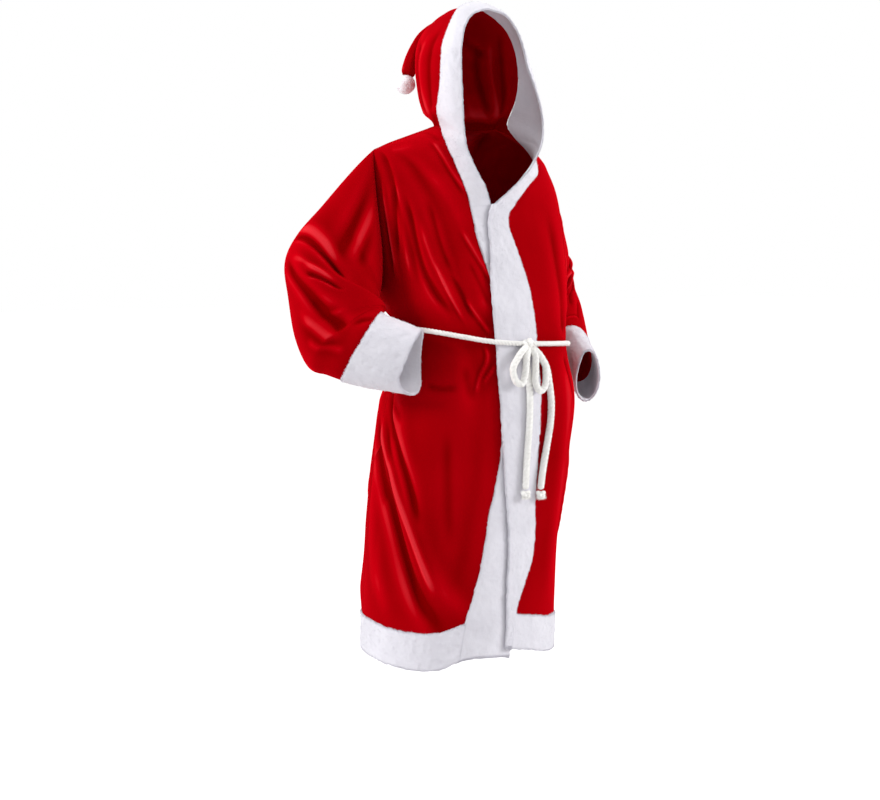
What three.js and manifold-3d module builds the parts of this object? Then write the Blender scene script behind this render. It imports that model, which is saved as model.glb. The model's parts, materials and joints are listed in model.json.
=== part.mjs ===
import * as THREE from 'three';
import Module from 'manifold-3d';

// Hooded robe of red velvet with white plush trims and a rope belt, as worn
// Millimetres, +Z up, the front faces -Y, the wearer's left is +X
// The origin is on the shoulder line at the middle of the neck, where the robe hangs

// Driving sizes
const VELVET = 2;
const PLUSH = 5;
const PLUSH_PROUD = 3;
const SEAM_GAP = 0.4;
const ARMHOLE_GAP = 0.7;
const HEM_DOWN = 1255;
const HEM_BAND = 82;
const ARMHOLE_DOWN = 400;
const NECK_HALF = 84;
const NECK_BACK = 55;
const NECK_DIP = 22;
const HOOD_RISE = 282;
const HOOD_ROW = 3;
const V_ROW = 7;
const HOOD_SEAT = 0.9;
const WRAP_LIFT = 9;
const WRAP_RAISE = 21;
const V_END = 0.7;
const TRIM_GAP = 1.4;
const TRIM_SWELL = 0.13;
const TRIM_COLS = 4;
const ROPE = 12;
const SIDE_SEAM = 110;
const ROUNDNESS = 2.25;
const SLEEVE_END = 9;
const CUFF_END = 12.5;
const CUFF_GAP = 0.012;

// Mesh steps
const ARM_ROWS = 13;
const SKIRT_ROWS = 12;
const SLEEVE_ROWS = 12;
const FRONT_RIGHT_COLS = 19;
const FRONT_LEFT_COLS = 13;
const BACK_COLS = 22;
const ROPE_SIDES = 8;
const BELT_STEPS = 58;

// Body sections by the distance down from the shoulder line: height of the side, rise to the neck,
// half width, depth in front, depth behind, middle, and how much narrower and lower the left side is
const BODY = {
  columns: ['down', 'z', 'rise', 'half', 'front', 'back', 'midX', 'midY', 'narrow', 'drop'],
  rows: [
    [0, -54, 84, 258, 0, 0, 0, 0, 30, 26],
    [30, -59, 82, 260, 34, 34, 0, 0, 31, 25],
    [60, -71, 77, 260, 62, 60, 0, 0, 31, 22],
    [95, -94, 70, 258, 88, 83, 0, 0, 29, 17],
    [150, -140, 54, 254, 118, 104, 2, 0, 18, 10],
    [230, -212, 28, 247, 140, 118, 5, -5, 6, 2],
    [320, -300, 8, 238, 152, 124, 10, -11, 0, 0],
    [410, -390, 0, 228, 158, 126, 16, -18, 0, 0],
    [520, -500, 0, 214, 156, 124, 22, -26, 0, 0],
    [560, -540, 0, 219, 161, 132, 22, -27, 0, 0],
    [640, -620, 0, 235, 173, 150, 20, -28, 0, 0],
    [800, -780, 0, 238, 180, 166, 4, -18, 0, 0],
    [1000, -980, 0, 235, 184, 176, -18, -4, 0, 0],
    [1255, -1235, 0, 235, 188, 184, -26, 2, 0, 0],
  ],
};

// Armhole edges in degrees from the front middle
const ARMHOLE = {
  columns: ['down', 'front', 'back'],
  rows: [
    [0, 90, 90],
    [30, 90, 97],
    [60, 91, 104],
    [110, 92, 114],
    [170, 94, 121],
    [240, 97, 124],
    [320, 102, 121],
    [375, 107, 115],
    [400, 110, 110],
  ],
};

// Seams to the white front bands: x of the right seam, x of the left seam, x of the inner band edges
const EDGE = {
  columns: ['down', 'right', 'left', 'rightInner', 'leftInner'],
  rows: [
    [0, -84, 84, -84, 84],
    [50, -103, 116, -60, 60],
    [88, -109, 135, -40, 50],
    [137, -103, 126, -10, 30],
    [187, -92, 68, 10, -10],
    [224, -86, 27, 26, -34],
    [250, -83, 2, 32, -46],
    [280, -79, 4, 36, -49],
    [311, -71, 16, 38, -49],
    [348, -60, 30, 40, -52],
    [390, -49, 43, 44, -53],
    [417, -46, 48, 46, -52],
    [463, -42, 55, 48, -49],
    [520, -39, 59, 50, -45],
    [600, -42, 59, 50, -47],
    [690, -41, 54, 50, -46],
    [786, -45, 52, 46, -38],
    [850, -56, 50, 42, -32],
    [905, -68, 49, 38, -27],
    [966, -77, 54, 34, -22],
    [1044, -89, 43, 28, -21],
    [1100, -104, 21, 20, -23],
    [1138, -116, 6, 12, -24],
    [1169, -125, -2, 6, -24],
    [1255, -142, -12, 0, -24],
  ],
};

// Folds of the body: a line from (degrees, down) to (degrees, down), its bow, height, width and how far it fades
const BODY_FOLDS = {
  columns: ['a0', 'd0', 'a1', 'd1', 'bow', 'height', 'width', 'fadeIn', 'fadeOut'],
  rows: [
    [-125, 360, -120, 430, 0, 24, 80, 110, 46],
    [-100, 660, -50, 1110, -8, -15, 24, 120, 90],
    [-88, 620, -36, 1080, -6, 9, 26, 140, 120],
    [-118, 700, -88, 1060, 0, 9, 30, 120, 120],
    [-30, 560, -26, 1000, 4, -6, 26, 160, 140],
    [-72, 90, -66, 300, 0, -7, 16, 60, 120],
    [-50, 120, -34, 400, 4, -6, 18, 60, 80],
    [-34, 170, -20, 420, 4, 6, 16, 80, 60],
    [32, 300, 40, 480, 0, -6, 18, 100, 30],
    [58, 560, 66, 1080, 4, -9, 24, 60, 120],
    [30, 620, 34, 1000, 0, 6, 24, 120, 160],
    [86, 600, 84, 1100, -4, 8, 28, 80, 120],
    [150, 560, 146, 1120, 4, -12, 26, 80, 110],
    [176, 540, 182, 1120, 0, 10, 30, 90, 120],
    [206, 580, 214, 1110, -4, -12, 26, 90, 110],
    [232, 620, 236, 1100, 0, 9, 28, 90, 110],
    [128, 640, 122, 1090, 0, 8, 26, 90, 110],
    [160, 160, 166, 420, 0, -7, 22, 80, 60],
    [202, 160, 196, 420, 0, -7, 22, 80, 60],
  ],
};

// Hood rings by height: half width, middle, depth behind and in front, seam to the trim in degrees
const HOOD = {
  columns: ['up', 'half', 'midY', 'back', 'front', 'seam'],
  rows: [
    [0, 92, -4, 62, 60, 72],
    [30, 103, -16, 112, 110, 84],
    [60, 109, -27, 146, 150, 85],
    [100, 111, -34, 170, 165, 84],
    [150, 109, -37, 186, 150, 84],
    [190, 101, -40, 192, 130, 86],
    [218, 87, -44, 192, 110, 88],
    [245, 66, -42, 168, 90, 91],
    [265, 44, -34, 126, 70, 94],
    [277, 24, -24, 76, 50, 98],
    [282, 8, -14, 32, 26, 104],
  ],
};

// Face edge of the hood trim from the V up to the crown: right side and left side
const FACE_EDGE = {
  columns: ['t', 'rx', 'ry', 'rz', 'lx', 'ly', 'lz'],
  rows: [
    [0, -36, -145, -177, -31, -152, -179],
    [0.1, -52, -144, -142, 4, -156, -154],
    [0.2, -72, -137, -102, 46, -152, -122],
    [0.3, -86, -126, -62, 90, -142, -82],
    [0.4, -92, -120, -20, 122, -131, -34],
    [0.5, -94, -117, 30, 128, -124, 24],
    [0.6, -95, -115, 84, 114, -118, 82],
    [0.7, -95, -112, 136, 96, -110, 134],
    [0.8, -88, -106, 188, 86, -102, 186],
    [0.88, -72, -98, 226, 70, -96, 226],
    [0.95, -40, -90, 256, 40, -90, 256],
    [1, 0, -86, 266, 0, -86, 266],
  ],
};

// Sleeve stations from the armhole to the cuff end: outer line, inner line, depth in front and behind
const SLEEVE_COLUMNS = ['k', 'ox', 'oy', 'oz', 'ix', 'iy', 'iz', 'front', 'back'];
const SLEEVE_RIGHT = {
  columns: SLEEVE_COLUMNS,
  rows: [
    [0, -262, 0, -66, -236, 6, -392, 64, 64],
    [1, -300, 20, -103, -246, 6, -392, 72, 76],
    [2, -369, 40, -172, -250, 2, -396, 78, 78],
    [3, -425, 60, -248, -250, -8, -401, 80, 74],
    [4, -450, 74, -312, -249, -20, -407, 80, 70],
    [5, -447, 66, -390, -250, -32, -413, 78, 68],
    [6, -443, 45, -480, -255, -44, -417, 72, 64],
    [7, -427, 15, -546, -268, -55, -418, 64, 58],
    [8, -397, -12, -563, -277, -63, -422, 56, 52],
    [9, -365, -30, -577, -284, -70, -427, 50, 46],
    [12.5, -248, -112, -605, -216, -132, -465, 40, 36],
  ],
};
const SLEEVE_LEFT = {
  columns: SLEEVE_COLUMNS,
  rows: [
    [0, 232, 0, -80, 236, 6, -392, 64, 64],
    [1, 266, 38, -126, 257, 20, -396, 60, 72],
    [2, 298, 82, -186, 266, 38, -400, 60, 74],
    [3, 336, 120, -256, 270, 50, -406, 64, 72],
    [4, 368, 146, -324, 272, 56, -413, 66, 70],
    [5, 388, 150, -392, 272, 50, -421, 66, 68],
    [6, 398, 128, -458, 275, 34, -431, 64, 64],
    [7, 392, 94, -522, 273, 12, -443, 58, 58],
    [8, 383, 60, -572, 270, -10, -457, 52, 52],
    [9, 374, 26, -612, 276, -34, -474, 44, 44],
    [12.5, 314, -74, -655, 270, -108, -522, 34, 30],
  ],
};

// Folds of the sleeves: a line from (degrees round, station) to the same, bow, height, width, fades in stations
const SLEEVE_FOLDS = {
  columns: ['a0', 'd0', 'a1', 'd1', 'bow', 'height', 'width', 'fadeIn', 'fadeOut'],
  rows: [
    [20, 4.1, 150, 5.2, 10, -12, 15, 0.2, 0.5],
    [16, 4.7, 150, 6.6, 10, 9, 20, 0.3, 0.5],
    [100, 3.6, 168, 4.4, 0, -8, 14, 0.3, 0.4],
    [60, 1.2, 80, 3.2, 0, -6, 18, 0.8, 0.8],
    [250, 3.4, 210, 5.6, 0, -9, 20, 0.6, 0.6],
    [300, 1.6, 280, 4.2, 0, -7, 22, 0.8, 0.8],
  ],
};

// Hanging tail of the hood: middle of each section, half width, half depth
const TAIL = {
  columns: ['s', 'x', 'y', 'z', 'wide', 'deep'],
  rows: [
    [0, -12, 158, 224, 17, 12],
    [0.2, -22, 164, 208, 16, 12],
    [0.45, -42, 160, 184, 14, 12],
    [0.7, -56, 152, 156, 15, 12],
    [1, -64, 148, 129, 18, 10],
  ],
};
const POMPOM = { radius: 23, x: -70, y: 150, z: 106.5 };

// Belt line round the waist by degrees: height of its middle and distance off the body
const BELT = {
  columns: ['angle', 'z', 'off'],
  rows: [
    [-180, -492, 10],
    [-135, -474, 11],
    [-95, -462, 12.5],
    [-60, -468, 11],
    [-35, -482, 11],
    [-20, -491, 19.2],
    [-8, -496, 20.5],
    [4, -499, 20.5],
    [16, -501, 20],
    [32, -503, 17],
    [60, -507, 11],
    [100, -510, 10],
    [140, -502, 11],
    [180, -492, 10],
  ],
};
const KNOT = { x: 26, z: -501, off: 23.5, wide: 15, tall: 17, deep: 10 };

// Free ends and bow loops of the belt: x, height, distance off the body
const END_KNOT = { wide: 12, deep: 9, tall: 12, gap: 0.9, forward: 1.5, sides: 10, rows: 6 };
const STRAND_COLUMNS = ['s', 'x', 'z', 'off'];
const BOW_RIGHT = {
  columns: STRAND_COLUMNS,
  rows: [
    [0, 22, -505, 27],
    [0.1, 8, -513, 31],
    [0.22, -8, -532, 33],
    [0.42, -20, -562, 33],
    [0.52, -15, -583, 32],
    [0.6, -4, -588, 32],
    [0.7, 5, -574, 32],
    [0.86, 11, -548, 32.5],
    [0.95, 16, -522, 32.8],
    [1, 24, -506, 28],
  ],
};
const BOW_LEFT = {
  columns: STRAND_COLUMNS,
  rows: [
    [0, 28, -506, 28],
    [0.06, 34, -522, 33.5],
    [0.16, 33, -552, 33],
    [0.38, 30, -590, 32],
    [0.5, 39, -606, 32],
    [0.6, 51, -598, 32],
    [0.75, 57, -566, 34],
    [0.88, 53, -540, 35],
    [0.95, 42, -520, 33.5],
    [1, 30, -505, 28],
  ],
};
const END_RIGHT = {
  columns: STRAND_COLUMNS,
  rows: [
    [0, 20, -519.4, 18.9],
    [0.15, 22, -570, 19.4],
    [0.4, 19, -660, 19.4],
    [0.7, 14, -760, 19.4],
    [1, 11, -832, 20.5],
  ],
};
const END_LEFT = {
  columns: STRAND_COLUMNS,
  rows: [
    [0, 34.5, -519, 20],
    [0.05, 46, -524, 20],
    [0.14, 68, -542, 20],
    [0.3, 78, -604, 19.4],
    [0.5, 78, -668, 19.4],
    [0.7, 68, -738, 19.4],
    [0.85, 59, -792, 19.4],
    [1, 53, -836, 20.5],
  ],
};

// Value of a named column at x: a cubic through the rows with the slopes of its neighbours
function column(table, x, name) {
  const c = table.columns.indexOf(name);
  const rows = table.rows;
  const last = rows.length - 2;
  let i = 0;
  while (i < last && x >= rows[i + 1][0]) {
    i += 1;
  }
  const slope = (j) => (rows[j + 1][c] - rows[j][c]) / (rows[j + 1][0] - rows[j][0]);
  const middle = (j) => {
    if (j === 0) {
      return slope(0);
    }
    if (j === rows.length - 1) {
      return slope(j - 1);
    }
    const before = rows[j][0] - rows[j - 1][0];
    const after = rows[j + 1][0] - rows[j][0];
    return (slope(j - 1) * after + slope(j) * before) / (before + after);
  };
  const h = rows[i + 1][0] - rows[i][0];
  const t = THREE.MathUtils.clamp((x - rows[i][0]) / h, 0, 1);
  const t2 = t * t;
  const t3 = t2 * t;
  const from = (2 * t3 - 3 * t2 + 1) * rows[i][c] + (t3 - 2 * t2 + t) * h * middle(i);
  const to = (3 * t2 - 2 * t3) * rows[i + 1][c] + (t3 - t2) * h * middle(i + 1);
  return from + to;
}

const signedPower = (value, power) => Math.sign(value) * Math.abs(value) ** power;
const fade = (x, from, to) => THREE.MathUtils.smoothstep(x, from, to);
const mix = THREE.MathUtils.lerp;

// Sum of the folds of a table at (angle, along), radius turns degrees into distance
function foldHeight(table, angle, along, radius) {
  let sum = 0;
  for (const [a0, d0, a1, d1, bow, height, width, fadeIn, fadeOut] of table.rows) {
    const length = Math.abs(d1 - d0);
    const u = (along - d0) / (d1 - d0);
    const line = mix(a0, a1, u) + 4 * bow * u * (1 - u);
    const off = THREE.MathUtils.euclideanModulo(angle - line + 180, 360) - 180;
    const distance = THREE.MathUtils.degToRad(off) * radius;
    const start = fade(u, -fadeIn / length, 0);
    const end = 1 - fade(u, 1, 1 + fadeOut / length);
    sum += height * Math.exp(-((distance / width) ** 2)) * start * end;
  }
  return sum;
}

// Point of the body, angle in degrees from the front middle, positive to the left of the wearer
function bodyPoint(angle, down, lift = 0) {
  const get = (name) => column(BODY, down, name);
  const s = Math.sin(THREE.MathUtils.degToRad(angle));
  const c = Math.cos(THREE.MathUtils.degToRad(angle));
  const power = 2 / ROUNDNESS;
  const side = signedPower(s, power);
  const left = Math.max(side, 0);
  const x = get('midX') + get('half') * side - get('narrow') * left ** 2;
  const depth = c >= 0 ? -get('front') : get('back');
  const neck = c < 0 ? THREE.MathUtils.clamp(1 - (x / NECK_HALF) ** 2, 0, 1) * (1 - fade(down, 0, 110)) : 0;
  const y = get('midY') + depth * Math.abs(c) ** power + NECK_BACK * Math.sqrt(neck);
  const z = get('z') + get('rise') * (1 - Math.abs(side)) - NECK_DIP * neck - get('drop') * left ** 2;
  const out = new THREE.Vector2(x - get('midX'), y - get('midY'));
  const radius = Math.max(out.length(), 1);
  const move = (foldHeight(BODY_FOLDS, angle, down, radius) + lift) / radius;
  return new THREE.Vector3(x + out.x * move, y + out.y * move, z + hemRaise(angle, down, lift));
}

// The hem hangs unevenly: how far the skirt's lower part is drawn up, and the left front more than that
const HEM_RAISE = {
  columns: ['angle', 'raise'],
  rows: [
    [-180, 6], [-150, 10], [-125, 20], [-107, 17], [-92, 12], [-82, 5], [-69, -1], [-57, -4], [-45, -5],
    [-36, 0], [-28, 13], [-20, 19], [-11, 19], [-1, 16], [8, 8], [15, 3], [33, -11], [50, -5], [75, 5],
    [110, 8], [150, 4], [180, 6],
  ],
};

function hemRaise(angle, down, lift) {
  const turn = THREE.MathUtils.euclideanModulo(angle + 180, 360) - 180;
  return (column(HEM_RAISE, turn, 'raise') + WRAP_RAISE * lift / WRAP_LIFT) * fade(down, 820, 1255);
}

// The left front lies over the right one near the middle
function wrapLift(angle, down) {
  return WRAP_LIFT * (1 - fade(Math.abs(angle), 30, 75)) * fade(down, 50, 170);
}

// Angle of the body point with that x on the front
function angleOfX(x, down) {
  const half = column(BODY, down, 'half');
  const share = THREE.MathUtils.clamp((x - column(BODY, down, 'midX')) / half, -1, 1);
  return THREE.MathUtils.radToDeg(Math.asin(signedPower(share, ROUNDNESS / 2)));
}

// Unit normal of a surface at (u, v), steps chosen by the surface
function normalOf(surface, u, v, du, dv) {
  const alongU = surface(u + du, v).sub(surface(u - du, v));
  const alongV = surface(u, v + dv).sub(surface(u, v - dv));
  return alongU.cross(alongV).normalize();
}

// Closed solid between two grids of points with the same rows and columns
function solidOf(outer, inner, closed) {
  const rows = outer.length;
  const cols = outer[0].length;
  const index = [];
  const at = (layer, r, c) => layer * rows * cols + r * cols + (c % cols);
  const quad = (a, b, c, d) => index.push(a, b, c, a, c, d);
  const span = closed ? cols : cols - 1;
  for (let r = 0; r < rows - 1; r += 1) {
    for (let c = 0; c < span; c += 1) {
      quad(at(0, r, c), at(0, r + 1, c), at(0, r + 1, c + 1), at(0, r, c + 1));
      quad(at(1, r, c), at(1, r, c + 1), at(1, r + 1, c + 1), at(1, r + 1, c));
    }
  }
  for (let c = 0; c < span; c += 1) {
    quad(at(0, 0, c), at(0, 0, c + 1), at(1, 0, c + 1), at(1, 0, c));
    quad(at(0, rows - 1, c), at(1, rows - 1, c), at(1, rows - 1, c + 1), at(0, rows - 1, c + 1));
  }
  if (!closed) {
    for (let r = 0; r < rows - 1; r += 1) {
      quad(at(0, r, 0), at(1, r, 0), at(1, r + 1, 0), at(0, r + 1, 0));
      quad(at(0, r, cols - 1), at(0, r + 1, cols - 1), at(1, r + 1, cols - 1), at(1, r, cols - 1));
    }
  }
  const positions = [outer, inner].flat(2).flatMap((p) => [p.x, p.y, p.z]);
  return closedGeometry(positions, index);
}

// Geometry turned so that its faces point outwards
function closedGeometry(positions, index) {
  const point = (i) => new THREE.Vector3().fromArray(positions, 3 * i);
  let volume = 0;
  for (let i = 0; i < index.length; i += 3) {
    volume += point(index[i]).dot(point(index[i + 1]).cross(point(index[i + 2])));
  }
  const faces = [];
  for (let i = 0; i < index.length; i += 3) {
    const [a, b, c] = index.slice(i, i + 3);
    faces.push(a, volume > 0 ? b : c, volume > 0 ? c : b);
  }
  const geometry = new THREE.BufferGeometry();
  geometry.setAttribute('position', new THREE.Float32BufferAttribute(positions, 3));
  geometry.setIndex(faces);
  geometry.computeVertexNormals();
  return geometry;
}

const kernel = await Module();
kernel.setup();

// Steps from 0 to 1
const steps = (count) => Array.from({ length: count + 1 }, (_, i) => i / count);

// Rows of the body panels: close together at the shoulder, so that the sleeves fit them
const armRows = steps(ARM_ROWS).map((t) => ARMHOLE_DOWN * (1 - Math.cos(Math.PI * t)) / 2);
const skirtRows = steps(SKIRT_ROWS).slice(1).map((t) => mix(ARMHOLE_DOWN, HEM_DOWN - HEM_BAND, t));
const TOP_GAP = 0.4;
const hoodStart = armRows[HOOD_ROW];
const vDown = armRows[V_ROW];
const panelRows = [TOP_GAP, ...armRows.slice(1), ...skirtRows.slice(0, -1), HEM_DOWN - HEM_BAND - SEAM_GAP / 2];
const bandRows = [vDown + SEAM_GAP / 2, ...panelRows.slice(V_ROW + 1)];
const hemRows = [HEM_DOWN - HEM_BAND + SEAM_GAP / 2, HEM_DOWN - HEM_BAND / 2, HEM_DOWN];

const gapAngle = (down) => THREE.MathUtils.radToDeg(SEAM_GAP / 2 / column(BODY, down, 'half'));

// Edge of the armhole, or the side seam below it
function armAngle(down, name) {
  return down < ARMHOLE_DOWN ? column(ARMHOLE, down, name) : SIDE_SEAM;
}

// Piece of the body between two edges given by the distance down, with its wall between two offsets
function bodyPiece(rows, cols, from, to, low, high, lift, shift, spread = (t) => t) {
  const surface = (angle, down) => {
    const point = bodyPoint(angle, down, lift(angle, down));
    point.y += shift;
    return point;
  };
  const outer = [];
  const inner = [];
  for (const down of rows) {
    const a = from(down);
    const b = to(down);
    const outerRow = [];
    const innerRow = [];
    for (const t of steps(cols)) {
      const angle = mix(a, b, spread(t, down));
      const point = surface(angle, down);
      const normal = normalOf(surface, angle, down, 0.4, Math.min(2, down * 0.9));
      if (normal.x * point.x + normal.y * point.y + Math.max(normal.z, 0) * 300 < 0) {
        normal.negate();
      }
      if (down <= TOP_GAP) {
        normal.set(0, 0, 1);
      }
      outerRow.push(point.clone().addScaledVector(normal, high));
      innerRow.push(point.clone().addScaledVector(normal, low));
    }
    outer.push(outerRow);
    inner.push(innerRow);
  }
  return solidOf(outer, inner, false);
}

const flat = () => 0;
const seamAngle = (down, name) => angleOfX(column(EDGE, down, name), down);

function frontPanel(side, rows, cols, low, high) {
  const name = side < 0 ? 'right' : 'left';
  const lift = side < 0 ? flat : wrapLift;
  const from = (down) => side * (armAngle(down, 'front') - (down < ARMHOLE_DOWN ? 0 : gapAngle(down)));
  const to = (down) => seamAngle(down, name) + side * gapAngle(down);
  return bodyPiece(rows, cols, from, to, low, high, lift, -SEAM_GAP / 2);
}

// Columns of the back stand closer together at the neck
function neckSpread(t, down) {
  const off = 2 * t - 1;
  const power = mix(2.15, 1, fade(down, 0, 260));
  return 0.5 + 0.5 * signedPower(off, power);
}

function backPanel(rows, low, high) {
  const gap = (down) => (down < ARMHOLE_DOWN ? 0 : gapAngle(down));
  const from = (down) => armAngle(down, 'back') + gap(down);
  const to = (down) => 360 - armAngle(down, 'back') - gap(down);
  return bodyPiece(rows, BACK_COLS, from, to, low, high, flat, SEAM_GAP / 2, neckSpread);
}

// White band along a front edge, from the bottom of the V to the hem
function frontBand(side) {
  const name = side < 0 ? 'right' : 'left';
  const from = (down) => seamAngle(down, name) - side * gapAngle(down);
  const to = (down) => angleOfX(column(EDGE, down, `${name}Inner`), down);
  const rows = [...bandRows, ...hemRows.slice(1)];
  return bodyPiece(rows, 4, from, to, PLUSH_PROUD - PLUSH, PLUSH_PROUD, side < 0 ? flat : wrapLift, -SEAM_GAP / 2);
}

// Neck line of the hood: round the back of the neck, then down the front edges
function neckPoint(angle) {
  const turn = Math.abs(angle);
  const side = Math.sign(angle);
  if (turn < 90) {
    const down = hoodStart * (90 - turn) / (90 - column(HOOD, 0, 'seam'));
    return bodyPoint(seamAngle(down, side < 0 ? 'right' : 'left'), down);
  }
  const s = Math.sin(THREE.MathUtils.degToRad(turn));
  const c = Math.cos(THREE.MathUtils.degToRad(turn));
  const x = side * NECK_HALF * s;
  const z = column(BODY, 0, 'z') + column(BODY, 0, 'rise') * (1 - Math.abs(x) / column(BODY, 0, 'half'));
  return new THREE.Vector3(x, NECK_BACK * Math.abs(c), z - NECK_DIP * c * c);
}

// Point of the hood, angle from the face, 180 at the back ridge
function hoodPoint(angle, up) {
  const s = Math.sin(THREE.MathUtils.degToRad(angle));
  const c = Math.cos(THREE.MathUtils.degToRad(angle));
  const get = (name) => column(HOOD, up, name);
  const depth = c >= 0 ? -get('front') : get('back');
  const x = get('half') * signedPower(s, 0.94);
  const y = get('midY') + depth * Math.abs(c) ** 0.94;
  const neck = neckPoint(angle);
  const share = 1 - fade(up, 0, 46);
  const z = up + HOOD_SEAT + neck.z * (1 - up / HOOD_RISE);
  const lean = 20 * fade(up, 200, 282) * fade(Math.abs(angle), 120, 180);
  return new THREE.Vector3(mix(x, neck.x, share), mix(y, neck.y, share), z - lean);
}

function hoodHalf(side) {
  const outer = [];
  const inner = [];
  for (const up of hoodRows) {
    const outerRow = [];
    const innerRow = [];
    for (const u of steps(12)) {
      const gap = THREE.MathUtils.radToDeg(SEAM_GAP / 2 / Math.max(column(HOOD, up, 'half'), 20));
      const angle = side * mix(column(HOOD, up, 'seam'), 180 - gap, u);
      const point = hoodPoint(angle, up);
      const normal = normalOf(hoodPoint, angle, up, 0.5, 1);
      if (normal.dot(new THREE.Vector3(point.x, point.y + 40, point.z - 90)) < 0) {
        normal.negate();
      }
      outerRow.push(point.clone());
      innerRow.push(point.clone().addScaledVector(normal, -VELVET));
    }
    outer.push(outerRow);
    inner.push(innerRow);
  }
  return solidOf(outer, inner, false);
}

// Outer edge of the hood trim: up the neck edge of a front, then round the hood
const HOOD_SHARE = 0.36;
const vRows = armRows.slice(HOOD_ROW, V_ROW + 1).reverse();
const hoodRows = steps(13).map((v) => HOOD_RISE * Math.sin(v * Math.PI / 2));
const trimSteps = [
  ...steps(V_ROW - HOOD_ROW).slice(0, -1).map((t) => HOOD_SHARE * t),
  ...steps(13).map((t) => mix(HOOD_SHARE, 1, t)),
];

function trimOuter(side, t) {
  const name = side < 0 ? 'right' : 'left';
  if (t < HOOD_SHARE) {
    const place = t / HOOD_SHARE * (V_ROW - HOOD_ROW);
    const i = Math.floor(place);
    const down = Math.min(mix(vRows[i], vRows[i + 1], place - i), vDown - V_END);
    const lift = side < 0 ? flat : wrapLift;
    const surface = (angle, at) => bodyPoint(angle, at, lift(angle, at));
    const angle = seamAngle(down, name) - side * gapAngle(down);
    return { point: surface(angle, down), normal: normalOf(surface, angle, down, 0.4, 2) };
  }
  const place = (t - HOOD_SHARE) / (1 - HOOD_SHARE);
  const up = HOOD_RISE * Math.sin(place * Math.PI / 2);
  const angle = side * column(HOOD, up, 'seam');
  return { point: hoodPoint(angle, up), normal: normalOf(hoodPoint, angle, up, 0.5, 1) };
}

// Point of the hood trim, t along from the V on the right over the crown to the V on the left
function trimPoint(along, across) {
  const side = along < 1 ? -1 : 1;
  const t = side < 0 ? along : 2 - along;
  const edge = trimOuter(side, t).point;
  const name = side < 0 ? 'r' : 'l';
  const face = new THREE.Vector3(...['x', 'y', 'z'].map((axis) => column(FACE_EDGE, t, name + axis)));
  const width = edge.distanceTo(face);
  const gap = TRIM_GAP * (1 + fade(t, 0.85, 0.97) + 0.6 * Math.exp(-(((t - 0.38) / 0.06) ** 2)));
  const share = mix(gap / width, 1, across);
  const point = edge.clone().lerp(face, share);
  const swell = TRIM_SWELL * width * Math.sin(Math.PI * share);
  return point.addScaledVector(trimOut(t, point), swell);
}

// Direction away from the chest at the V, away from the head further up
function trimOut(t, point) {
  const chest = new THREE.Vector3(0.3 * point.x, -100, 50).normalize();
  const head = new THREE.Vector3(point.x, 0.35 * (point.y + 40), 0.8 * Math.max(point.z - 120, 0)).normalize();
  return chest.lerp(head, fade(t, 0.2, 0.5)).normalize();
}

function hoodTrim() {
  const outer = [];
  const inner = [];
  const alongRows = [...trimSteps, ...trimSteps.slice(0, -1).reverse().map((t) => 2 - t)];
  for (const along of alongRows) {
    const side = along < 1 ? -1 : 1;
    const seam = trimOuter(side, side < 0 ? along : 2 - along).normal;
    const outerRow = [];
    const innerRow = [];
    for (const across of steps(TRIM_COLS)) {
      const point = trimPoint(along, across);
      const safe = THREE.MathUtils.clamp(along, 0.01, 1.99);
      const normal = normalOf(trimPoint, safe, across, 0.008, 0.02);
      const toward = trimOut(side < 0 ? along : 2 - along, point);
      if (normal.dot(toward) < 0) {
        normal.negate();
      }
      const turned = seam.dot(toward) < 0 ? seam.clone().negate() : seam.clone();
      normal.lerpVectors(turned, normal.clone(), Math.min(1, 1.6 * across)).normalize();
      outerRow.push(point.clone().addScaledVector(normal, PLUSH_PROUD));
      innerRow.push(point.clone().addScaledVector(normal, PLUSH_PROUD - PLUSH));
    }
    outer.push(outerRow);
    inner.push(innerRow);
  }
  return solidOf(outer, inner, false);
}

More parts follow.
